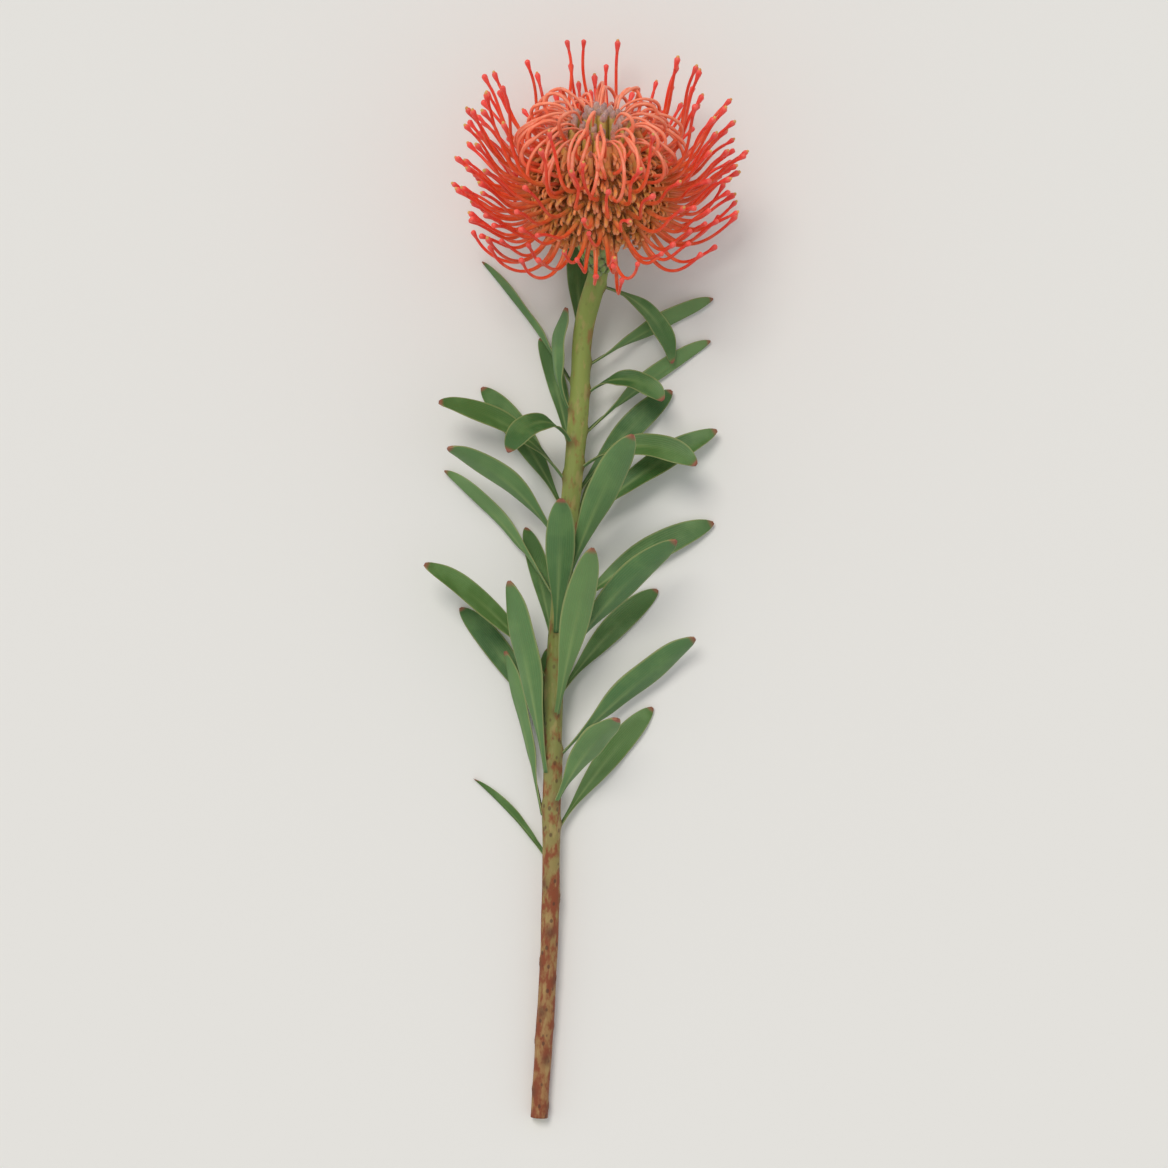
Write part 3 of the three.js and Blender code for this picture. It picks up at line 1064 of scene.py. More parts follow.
@dataclass(frozen=True)
class LeafSkin:
    """Leaf skin: leathery grey-green, matt, with fine long veins, pale margins and a red-brown tip.

    The veins follow the blade's own UV map, across in the first coordinate and along in the second. Other
    sizes are in millimetres.
    """

    upper_side: str = "#426a2c"
    lower_side: str = "#5c8149"
    values: tuple[float, float] = (0.78, 1.22)
    hues: tuple[float, float] = (0.519, 0.484)
    blotches: Patches = Patches(14.0, "#6f9454", 0.45, low=0.42, high=0.68)
    veins_across: float = 4.2
    vein_stretch: tuple[float, float, float] = (1.0, 0.35, 1.0)
    vein_wander: float = 2.2
    vein_colour: str = "#8fab6c"
    vein_amount: float = 0.13
    vein_edge: tuple[float, float] = (0.78, 1.0)
    vein_height: float = 0.7
    rib_colour: str = "#a3b873"
    edge_colour: str = "#a8a86a"
    tip_colour: str = "#a25648"
    grain: float = 0.8
    relief: float = 0.07
    roughness: float = 0.52
    scatter: float = 0.08
    scatter_depth: float = 0.6

    def build(self) -> bpy.types.Material:
        """Build the material.

        Returns:
            The material.
        """
        material, tree, shader = new_material("leathery_leaf_skin")
        place = add_node(tree, "ShaderNodeTexCoord")
        upper = add_node(tree, "ShaderNodeAttribute", {"attribute_name": "upper"}).outputs["Fac"]
        tone = add_node(tree, "ShaderNodeAttribute", {"attribute_name": "tone"}).outputs["Fac"]
        side = add_node(tree, "ShaderNodeMix", {"data_type": "RGBA"}, {
            "Factor": upper, UNDER: linear(self.lower_side), OVER: linear(self.upper_side),
        })
        value, hue = (
            add_node(tree, "ShaderNodeMapRange", values={"Value": tone, "To Min": low, "To Max": high})
            for low, high in (self.values, self.hues)
        )
        toned = add_node(tree, "ShaderNodeHueSaturation", values={
            "Hue": hue.outputs["Result"], "Value": value.outputs["Result"], "Color": side.outputs[MIXED],
        })
        blotched = self.blotches.lay(tree, place.outputs["Object"], toned.outputs["Color"])
        drawn_out = add_node(tree, "ShaderNodeMapping", values={
            "Vector": place.outputs["UV"], "Scale": self.vein_stretch,
        })
        veins = add_node(tree, "ShaderNodeTexWave", {"wave_type": "BANDS", "bands_direction": "X"}, {
            "Vector": drawn_out.outputs["Vector"], "Scale": self.veins_across, "Distortion": self.vein_wander,
            "Detail": 2.0, "Detail Scale": 2.0,
        })
        low, high = self.vein_edge
        share = add_node(tree, "ShaderNodeMapRange", {"interpolation_type": "SMOOTHSTEP"}, {
            "Value": veins.outputs["Fac"], "From Min": low, "From Max": high, "To Max": self.vein_amount,
        })
        veined = add_node(tree, "ShaderNodeMix", {"data_type": "RGBA"}, {
            "Factor": share.outputs["Result"], UNDER: blotched, OVER: linear(self.vein_colour),
        })
        colour = lay_tints(tree, veined.outputs[MIXED], {
            "rib": self.rib_colour, "edge": self.edge_colour, "tip": self.tip_colour,
        })
        grain = add_node(tree, "ShaderNodeTexNoise", values={
            "Vector": place.outputs["Object"], "Scale": 1 / (self.grain * MM), "Detail": 2.0,
        })
        relief = add_node(tree, "ShaderNodeMath", {"operation": "MULTIPLY_ADD"}, {
            0: veins.outputs["Fac"], 1: self.vein_height, 2: grain.outputs["Fac"],
        })
        bump = add_node(tree, "ShaderNodeBump", values={
            "Height": relief.outputs["Value"], "Distance": self.relief * MM, "Strength": 1.0,
        })
        set_inputs(tree, shader, {
            "Base Color": colour, "Normal": bump.outputs["Normal"], "Roughness": self.roughness,
            "Subsurface Weight": self.scatter, "Subsurface Scale": self.scatter_depth * MM,
        })
        return material


# The places of things


@dataclass(frozen=True)
class Head:
    """Where the flower head is: its middle, its own axes, and the places of its florets.

    Florets count from the apex down. The first ones are buds, the next are bowed, and the rest are free. They
    stand on a conical seat, and their claws make a dome. Whatever sinks below gives_below is pressed up.
    """

    centre: tuple[float, float, float] = (184.2, -1.0, 47.5)
    lean: float = math.radians(30)
    turn: float = math.radians(4)
    florets: int = 189
    buds: int = 21
    first_free: int = 78
    seat_top: float = 14.0
    seat_base: float = -28.0
    seat_radius: float = 9.0
    dome_radius: float = 35.0
    dome_edge: float = math.radians(128)
    gives_below: float = 16.0
    gives_to: float = -2.8

    @cached_property
    def axis(self) -> np.ndarray:
        """Give the direction that the flower faces."""
        level, rise = math.cos(self.lean), math.sin(self.lean)
        return np.array([level * math.cos(self.turn), level * math.sin(self.turn), rise])

    @cached_property
    def front(self) -> np.ndarray:
        """Give the direction from the head's axis towards the viewer."""
        level, rise = math.cos(self.lean), math.sin(self.lean)
        return np.array([-rise * math.cos(self.turn), -rise * math.sin(self.turn), level])

    @cached_property
    def right(self) -> np.ndarray:
        """Give the direction to the right, seen from the front."""
        return np.cross(self.axis, self.front)

    def point(self, out: Any, up: Any, around: Any, aside: Any = 0.0) -> np.ndarray:
        """Find points of the head.

        Args:
            out: Distance to the head's axis.
            up: Height along the axis.
            around: Angle round the axis, from the viewer towards the right.
            aside: Distance across, at right angles to the plane of out and up.

        Returns:
            The points in the row frame.
        """
        out, up, around, aside = np.broadcast_arrays(
            *(np.asarray(v, float) for v in (out, up, around, aside))
        )
        cosine, sine = np.cos(around), np.sin(around)
        return (
            np.array(self.centre) + up[..., None] * self.axis
            + (out * cosine - aside * sine)[..., None] * self.front
            + (out * sine + aside * cosine)[..., None] * self.right
        )

    def polar(self, number: float) -> float:
        """Give the angle from the axis to a floret.

        Args:
            number: The floret, from the apex down.

        Returns:
            The angle in radians.
        """
        level = (number + 0.5) / self.florets
        return math.acos(1 - (1 - math.cos(self.dome_edge)) * level ** 1.1)

    def seat(self, number: float) -> tuple[float, float]:
        """Give the place on the conical seat where a floret stands.

        Args:
            number: The floret, from the apex down.

        Returns:
            Distance to the axis and height along it.
        """
        level = (number + 0.5) / self.florets
        return self.seat_radius * level ** 0.4, mix(self.seat_top, self.seat_base, level ** 0.8)

    def pressed(self, points: np.ndarray, clearance: Any = 0.0) -> np.ndarray:
        """Let the floor bend what reaches down to it.

        Args:
            points: Points in the row frame.
            clearance: How far the points stay over the floor at least.

        Returns:
            The points once pressed.
        """
        points = points.copy()
        points[..., 2] = np.maximum(give_way(points[..., 2], self.gives_below, self.gives_to), clearance)
        return points


HEAD = Head()


def on_sphere(radius: float, polar: float) -> np.ndarray:
    """Give out and up of a place on a sphere round the head's middle.

    Args:
        radius: The sphere's radius.
        polar: The angle from the head's axis.

    Returns:
        Distance to the axis and height along it.
    """
    return np.array([radius * math.sin(polar), radius * math.cos(polar)])


@dataclass(frozen=True)
class Leaf:
    """One leaf, as it leaves the stem and bends.

    at is millimetres from the cut end, around is degrees from straight up towards the right, opening is
    degrees off the stem, bend is degrees more by the tip, and layer is how high the blade rests where it
    lies on the surface.
    """

    at: float
    around: float
    opening: float
    bend: float
    length: float
    width: float
    twist: float
    layer: float


LEAVES: tuple[Leaf, ...] = (
    Leaf(124, 214, 54, 14, 70, 11.5, 18, 1.0),
    Leaf(139, 120, 36, 12, 74, 12, 52, 1.0),
    Leaf(147, 258, 12, 4, 76, 12.5, 40, 3.6),
    Leaf(152, 36, 36, 26, 62, 14, -24, 1.0),
    Leaf(162, 184, 26, 12, 70, 12, 8, 4.6),
    Leaf(168, 312, 13, 6, 90, 14.5, 14, 1.0),
    Leaf(174, 88, 42, 12, 82, 15, -52, 1.0),
    Leaf(184, 230, 34, 20, 78, 12.5, -40, 1.0),
    Leaf(194, 20, 25, 8, 88, 14.5, -10, 1.0),
    Leaf(202, 134, 42, 18, 78, 12.5, 40, 1.0),
    Leaf(210, 280, 36, 28, 78, 13.5, -52, 1.0),
    Leaf(218, 55, 34, 22, 84, 14, -40, 1.0),
    Leaf(225, 200, 38, 10, 72, 12, 10, 1.0),
    Leaf(233, 352, 14, 12, 64, 14, 4, 1.0),
    Leaf(241, 106, 42, 24, 82, 14, 58, 1.0),
    Leaf(249, 248, 38, 24, 80, 13, 44, 2.6),
    Leaf(257, 26, 28, 18, 86, 15, -18, 1.0),
    Leaf(265, 158, 34, 14, 74, 12, 16, 2.6),
    Leaf(273, 298, 38, 40, 74, 13, 38, 1.0),
    Leaf(281, 98, 40, 20, 80, 13, 56, 1.0),
    Leaf(289, 232, 36, 20, 76, 12.5, -44, 1.0),
    Leaf(298, 134, 38, 18, 74, 12.5, 44, 3.6),
    Leaf(304, 282, 42, 46, 70, 12.5, -52, 1.0),
    Leaf(310, 74, 48, 74, 58, 13.5, 56, 1.0),
    Leaf(315, 204, 34, 16, 70, 12, 10, 1.0),
    Leaf(321, 322, 48, 104, 52, 12.5, -34, 1.0),
    Leaf(326, 114, 44, 16, 76, 12.5, -54, 1.0),
    Leaf(337, 285, 30, -52, 48, 10.5, 20, 1.0),
    Leaf(345, 76, 50, 92, 39, 11.5, 50, 1.0),
    Leaf(349, 237, 38, 12, 76, 12, 42, 1.0),
    Leaf(358, 110, 56, 10, 68, 11.5, -54, 1.0),
    Leaf(367, 190, 34, 16, 60, 11, 8, 1.0),
    Leaf(396, 98, 92, 66, 52, 10.5, 44, 1.0),
)


# The stem


@dataclass(frozen=True)
class Stem:
    """The stem: its line, its thickness and the marks on it.

    neck_heights and the first number of each receptacle pair are heights along the head's axis. Each wave has
    its height, its length and its lobes. A scar or a cushion has how far it stands out, its length and its
    width. A ridge has no length of its own, and dark starts with the share of its colour.
    """

    cut_end: tuple[float, float, float] = (-252.8, -2.5, 4.15)
    rise: tuple[tuple[float, float, float], ...] = (
        (-167.8, -1.7, 7.4), (-87.8, 2.3, 10.4), (-32.8, 4.3, 11.8), (22.2, 2.7, 12.8), (77.2, 1.4, 14.4),
        (123.2, 1.4, 17.2),
    )
    neck_heights: tuple[float, float] = (-42.0, -34.0)
    radius_low: float = 4.1
    radius_neck: float = 4.7
    ring_gap: float = 0.9
    sides: int = 44
    scars: int = 15
    scar_first: float = 6.0
    scar_spacing: float = 7.6
    scar_turn: float = 137.5
    scar: tuple[float, float, float] = (0.7, 1.9, 1.8)
    scar_dent: float = 0.75
    cushion: tuple[float, float, float] = (1.0, 2.4, 2.3)
    ridge: tuple[float, float] = (0.42, 1.1)
    ridge_fades: tuple[float, float] = (6.0, 26.0)
    waves: tuple[tuple[float, float, int], ...] = ((0.1, 9.0, 2), (0.07, 4.3, -3))
    dark: tuple[float, float, float] = (0.75, 3.0, 2.6)
    lowest: float = 0.05
    cut_sides: int = 32
    receptacle: tuple[tuple[float, float], ...] = (
        (-30.0, 7.0), (-26.0, 8.2), (-14.0, 7.4), (0.0, 5.0), (10.0, 2.6), (13.6, 0.6),
    )

    @cached_property
    def line(self) -> np.ndarray:
        """Give the stem's middle line as close points."""
        neck = [HEAD.point(0.0, up, 0.0) for up in self.neck_heights]
        return spline([self.cut_end, *self.rise, *neck], 60)

    @cached_property
    def reach(self) -> np.ndarray:
        """Give how far along the stem each point of its line is."""
        return np.concatenate([[0.0], np.cumsum(np.linalg.norm(np.diff(self.line, axis=0), axis=1))])

    @property
    def length(self) -> float:
        """Give the length of the stem's line."""
        return float(self.reach[-1])

    @property
    def stripped(self) -> tuple[tuple[float, float], ...]:
        """Give the place and the angle of each scar where a low leaf was stripped."""
        return tuple(
            (self.scar_first + self.scar_spacing * k, LEAVES[0].around - self.scar_turn * (k + 1))
            for k in range(self.scars)
        )

    def at(self, distance: Any) -> np.ndarray:
        """Find points on the stem's line.

        Args:
            distance: Millimetres from the cut end.

        Returns:
            The points.
        """
        return np.stack([np.interp(distance, self.reach, self.line[:, k]) for k in range(3)], axis=-1)

    def along(self, distance: Any) -> np.ndarray:
        """Give the direction of the stem.

        Args:
            distance: Millimetres from the cut end.

        Returns:
            Unit vectors along the stem.
        """
        step = 1.5
        low = np.clip(np.asarray(distance, float) - step, 0, self.length)
        high = np.clip(np.asarray(distance, float) + step, 0, self.length)
        return unit(self.at(high) - self.at(low))

    def radius(self, distance: Any) -> Any:
        """Give the stem's radius.

        Args:
            distance: Millimetres from the cut end.

        Returns:
            The radius there.
        """
        return mix(self.radius_low, self.radius_neck, (np.asarray(distance) / self.length) ** 1.5)

    def across(self, distance: Any) -> tuple[np.ndarray, np.ndarray]:
        """Give the stem's own up and right.

        Args:
            distance: Millimetres from the cut end.

        Returns:
            Unit vectors up and right, square to the stem.
        """
        along = self.along(distance)
        up = unit(np.array([0.0, 0.0, 1.0]) - along * along[..., 2:3])
        return up, np.cross(along, up)

    def aside(self, around: np.ndarray, degrees: float) -> np.ndarray:
        """Give how far across the bark points lie from a direction round the stem."""
        return ((around - math.radians(degrees) + math.pi) % (2 * math.pi) - math.pi) * self.radius_neck

    def swelling(self, distance: np.ndarray, around: np.ndarray) -> np.ndarray:
        """Add up the cushions under the leaves, the ridges that run down from them, and the old scars.

        Args:
            distance: Millimetres from the cut end, for each surface point.
            around: Angle round the stem, for each surface point.

        Returns:
            How far each point stands out.
        """
        out = sum(high * np.sin(distance / long + lobes * around) for high, long, lobes in self.waves)
        for leaf in LEAVES:
            aside, below = self.aside(around, leaf.around), leaf.at - distance
            proud, long, wide = self.cushion
            out += proud * np.exp(-((below + 0.5) / long) ** 2 - (aside / wide) ** 2)
            proud, wide = self.ridge
            ridge = ease(below, -1.0, 2.0) * (1 - ease(below, *self.ridge_fades))
            out += proud * ridge * np.exp(-(aside / wide) ** 2)
        proud, long, wide = self.scar
        for at, degrees in self.stripped:
            spread = ((distance - at) / long) ** 2 + (self.aside(around, degrees) / wide) ** 2
            out += proud * np.exp(-spread) - self.scar_dent * np.exp(-spread * 5.0)
        return out

    def darkness(self, distance: np.ndarray, around: np.ndarray) -> np.ndarray:
        """Say how dark the bark is round the feet of the leaves and the scars.

        Args:
            distance: Millimetres from the cut end, for each surface point.
            around: Angle round the stem, for each surface point.

        Returns:
            The share of the dark colour.
        """
        most, long, wide = self.dark
        near = np.zeros_like(distance)
        for at, degrees in [*((leaf.at, leaf.around) for leaf in LEAVES), *self.stripped]:
            spread = ((distance - at + 1.0) / long) ** 2 + (self.aside(around, degrees) / wide) ** 2
            near = np.maximum(near, np.exp(-spread))
        return most * near

    def bark_piece(self) -> bpy.types.Object:
        """Build the bark from the cut end into the flower head.

        Returns:
            The finished piece.
        """
        distance = np.linspace(0.0, self.length, int(self.length / self.ring_gap))
        angles = np.linspace(0, 2 * math.pi, self.sides, endpoint=False)
        reach, around = np.meshgrid(distance, angles, indexing="ij")
        swell = self.swelling(reach, around) * ease(reach, 0.0, 3.0)
        radius = self.radius(reach) + swell * (1 - ease(reach, self.length - 14, self.length))
        up, right = self.across(distance)
        skin = (
            self.at(distance)[:, None, :]
            + (radius * np.cos(around))[..., None] * up[:, None, :]
            + (radius * np.sin(around))[..., None] * right[:, None, :]
        )
        inside = [HEAD.point(wide, height, angles) for height, wide in self.receptacle]
        rings = np.concatenate([skin, np.array(inside)])
        rings[..., 2] = np.maximum(rings[..., 2], self.lowest)
        along = np.concatenate([distance / self.length, np.ones(len(inside))])
        dark = np.concatenate([self.darkness(reach, around).ravel(), np.zeros(len(inside) * self.sides)])
        mesh = make_mesh(
            "stem_bark", rings.reshape(-1, 3), tube_faces(len(rings), self.sides),
            along=np.repeat(along, self.sides), node=dark,
        )
        return keep(link_object("stem_bark", mesh, Bark().build()), Slot.STEM, "stem")

    def cut_face(self) -> bpy.types.Object:
        """Build the cut end's face: pith, wood and a rim of bark, domed a little.

        Returns:
            The finished piece.
        """
        middle, along = self.at(0.0), self.along(0.0)
        up, right = self.across(0.0)
        angles = np.linspace(0, 2 * math.pi, self.cut_sides, endpoint=False)[:, None]
        circle = self.radius_low * (np.cos(angles) * up + np.sin(angles) * right)
        shares = (0.0001, 0.12, 0.24, 0.5, 0.78, 0.9, 0.985)
        rings = [middle - along * 0.12 * (1 - share ** 4) + share * circle for share in shares]
        rings.append(middle + along * 0.6 + 0.9 * circle)
        mesh = make_mesh(
            "cut_end_wood", np.vstack(rings), tube_faces(len(rings), self.cut_sides),
            along=np.repeat([*shares, 1.0], self.cut_sides),
        )
        return keep(link_object("cut_end_wood", mesh, CUT_WOOD.build()), Slot.STEM)


STEM = Stem()


# The leaves


@dataclass(frozen=True)
class Foliage:
    """All the leaves: their shared shape and their pieces.

    Places along a blade are shares of its length, and foot holds two rings inside the stem. tip_spread and
    tip_full are how far from the tip its red-brown callus starts and is full.
    """

    steps: int = 54
    strips: int = 12
    foot: tuple[float, float] = (-0.045, -0.02)
    widest: float = 0.62
    narrowest: float = 0.1
    gives_below: float = 9.0
    fold: float = 0.22
    twist_ends: float = 0.4
    petiole_ends: float = 0.2
    middle_thickness: float = 0.85
    edge_thickness: float = 0.3
    tip_thickening: float = 0.75
    rib_proud: float = 0.35
    rib_dent: float = 0.1
    ripple: float = 0.55
    tip_spread: float = 2.4
    tip_full: float = 0.8
    lowest: float = 0.15

    def breadth(self, v: np.ndarray) -> np.ndarray:
        """Give half the blade's breadth along its length, as a share of the widest.

        Args:
            v: Place from stem to tip.

        Returns:
            The share of the widest.
        """
        rise = 0.2 + 0.8 * np.sin((math.pi / 2) * np.clip(v / self.widest, 0, 1)) ** 2
        fall = (1 - np.clip((v - self.widest) / (1 - self.widest), 0, 1) ** 2.4) ** 0.6
        return np.maximum(rise * fall, self.narrowest)

    def middle(self, leaf: Leaf, v: np.ndarray, w: np.ndarray) -> np.ndarray:
        """Find points of the blade's middle surface.

        Args:
            leaf: The leaf.
            v: Place from stem to tip.
            w: Place from edge to edge, from -1 to 1.

        Returns:
            The points before the surface presses on them.
        """
        along = STEM.along(leaf.at)
        up, right = STEM.across(leaf.at)
        around = math.radians(leaf.around)
        away = up * math.cos(around) + right * math.sin(around)
        opening, bend = math.radians(leaf.opening), math.radians(leaf.bend)
        now = opening + bend * v
        base = STEM.at(leaf.at) + away * (float(STEM.radius(leaf.at)) + 1.0)
        ahead_part = leaf.length * (np.sin(now) - math.sin(opening)) / bend
        away_part = leaf.length * (math.cos(opening) - np.cos(now)) / bend
        point = base + ahead_part[..., None] * along + away_part[..., None] * away
        ahead = np.cos(now)[..., None] * along + np.sin(now)[..., None] * away
        flat = np.cross(along, away)
        turn = math.radians(leaf.twist) * ease(v, 0.0, self.twist_ends)
        face = np.cross(ahead, flat)
        side = np.cos(turn)[..., None] * flat + np.sin(turn)[..., None] * face
        inner = np.cross(ahead, side)
        half = (leaf.width / 2) * self.breadth(v)
        fold = self.fold * half * w * w
        return point + (w * half)[..., None] * side + fold[..., None] * inner

    def rested(self, leaf: Leaf, v: np.ndarray, w: np.ndarray) -> np.ndarray:
        """Find points of the middle surface once the floor has pressed on the blade.

        Args:
            leaf: The leaf.
            v: Place from stem to tip.
            w: Place from edge to edge, from -1 to 1.

        Returns:
            The points.
        """
        point = self.middle(leaf, v, w)
        pressed = give_way(point[..., 2], self.gives_below, leaf.layer)
        point[..., 2] = mix(point[..., 2], pressed, ease(v, 0.0, self.petiole_ends))
        return point

    @staticmethod
    def on_both(values: np.ndarray) -> np.ndarray:
        """Repeat the values of the lower side on the upper side, in the order of the blade's points."""
        return np.concatenate([values, values[:, ::-1]], axis=1).ravel()

    def blade(self, leaf: Leaf, number: int) -> bpy.types.Mesh:
        """Build one leaf: a thin blade with a raised rib below and a slightly rippled edge.

        Args:
            leaf: The leaf.
            number: Its number from the lowest up.

        Returns:
            The mesh.
        """
        rng = np.random.default_rng(SEED + number)
        v_line = np.concatenate([self.foot, np.linspace(0.0, 1.0, self.steps) ** 0.92])
        w_line = np.sin(np.linspace(-math.pi / 2, math.pi / 2, self.strips + 1))
        v, w = np.meshgrid(v_line, w_line, indexing="ij")
        spot = self.rested(leaf, v, w)
        later, sooner = (np.clip(v + step, v_line[0], 1) for step in (0.012, -0.012))
        ahead = self.rested(leaf, later, w) - self.rested(leaf, sooner, w)
        aside = self.rested(leaf, v, np.ones_like(w)) - self.rested(leaf, v, -np.ones_like(w))
        normal = unit(np.cross(ahead, aside))
        phase, waves = rng.uniform(0, 2 * math.pi, 2), rng.uniform(1.6, 2.8)
        lift = self.ripple * ease(v, 0.12, 0.4) * (1 - ease(v, 0.86, 1.0)) * np.abs(w) ** 3
        spot = spot + normal * (
            lift * np.sin(2 * math.pi * waves * v + np.where(w > 0, phase[0], phase[1]))
        )[..., None]
        rib = np.exp(-(w / 0.13) ** 2) * (1 - ease(v, 0.55, 0.95))
        thick = mix(self.edge_thickness, self.middle_thickness, np.sqrt(np.clip(1 - w * w, 0, 1)))
        half = 0.5 * (thick * mix(1.0, 0.72, v) + self.tip_thickening * ease(v, 0.94, 0.985))
        over = spot + normal * (half - self.rib_dent * rib)[..., None]
        under = spot - normal * (half + self.rib_proud * rib)[..., None]
        rings = np.concatenate([under, over[:, ::-1]], axis=1)
        rings[..., 2] = np.maximum(rings[..., 2], self.lowest)
        count, sides = rings.shape[:2]
        from_tip = leaf.length * (1 - v)
        mesh = make_mesh(
            f"leaf_blade_{number:02d}", rings.reshape(-1, 3), tube_faces(count, sides),
            upper=np.concatenate([np.zeros_like(v), np.ones_like(v)], axis=1).ravel(),
            tone=np.full(count * sides, rng.uniform(0.0, 1.0)),
            rib=self.on_both(0.45 * np.exp(-(w / 0.1) ** 2) * (1 - ease(v, 0.2, 0.8))),
            edge=self.on_both(0.6 * ease(np.abs(w), 0.9, 1.0)),
            tip=self.on_both(0.85 * ease(from_tip, self.tip_spread, self.tip_full)),
        )
        set_uv(mesh, self.on_both(0.5 + 0.5 * w), self.on_both(v))
        return mesh

    def build(self) -> None:
        """Build and dress every leaf."""
        skin = LeafSkin().build()
        for number, leaf in enumerate(LEAVES, start=1):
            piece = link_object(f"leaf_blade_{number:02d}", self.blade(leaf, number), skin)
            keep(piece, Slot.LEAF, f"leaf_{number:02d}")


# The flower head


@dataclass
class Lines:
    """Open lines with values at each point, as a carrier mesh for tubes."""

    points: list[np.ndarray] = field(default_factory=list)
    values: dict[str, list[np.ndarray]] = field(default_factory=dict)

    def add(self, line: np.ndarray, **values: Any) -> None:
        """Add one line.

        Args:
            line: Its points.
            values: A number or a row of three for each point, or one number for all, by attribute name.
        """
        self.points.append(line)
        for name, value in values.items():
            value = np.asarray(value, float)
            self.values.setdefault(name, []).append(np.broadcast_to(value, (len(line), *value.shape[1:])))

    def mesh(self, name: str) -> bpy.types.Mesh:
        """Make the carrier mesh of edges.

        Args:
            name: The mesh's name.

        Returns:
            The mesh with its attributes.
        """
        edges, first = [], 0
        for line in self.points:
            edges.extend((k, k + 1) for k in range(first, first + len(line) - 1))
            first += len(line)
        values = {key: np.concatenate(parts) for key, parts in self.values.items()}
        return make_mesh(name, np.vstack(self.points), edges=edges, **values)


class Places(Lines):
    """Places for copies, each a line of one point: where it is, how it is turned, its size and its shape."""

    def place(
        self, point: np.ndarray, ahead: np.ndarray, up: np.ndarray, size: float, tone: float, pick: int
    ) -> None:
        """Add one place.

        Args:
            point: Where the copy's origin goes.
            ahead: Where its Z axis points.
            up: About where its X axis points.
            size: Its scale.
            tone: Its tone, from 0 to 1.
            pick: The number of its shape.
        """
        z = unit(ahead)
        x = unit(up - z * float(np.dot(up, z)))
        matrix = Matrix(np.stack([x, np.cross(z, x), z], axis=1).tolist())
        self.add(point[None], turn=np.array(matrix.to_euler("XYZ"))[None], size=size, tone=tone, pick=pick)


@dataclass
class Carriers:
    """The carrier meshes that one group of florets fills."""

    free_styles: Lines = field(default_factory=Lines)
    bowed_styles: Lines = field(default_factory=Lines)
    green_tubes: Lines = field(default_factory=Lines)
    tan_tubes: Lines = field(default_factory=Lines)
    presenters: Places = field(default_factory=Places)
    claws: Places = field(default_factory=Places)
    bud_limbs: Places = field(default_factory=Places)
    tan_limbs: Places = field(default_factory=Places)


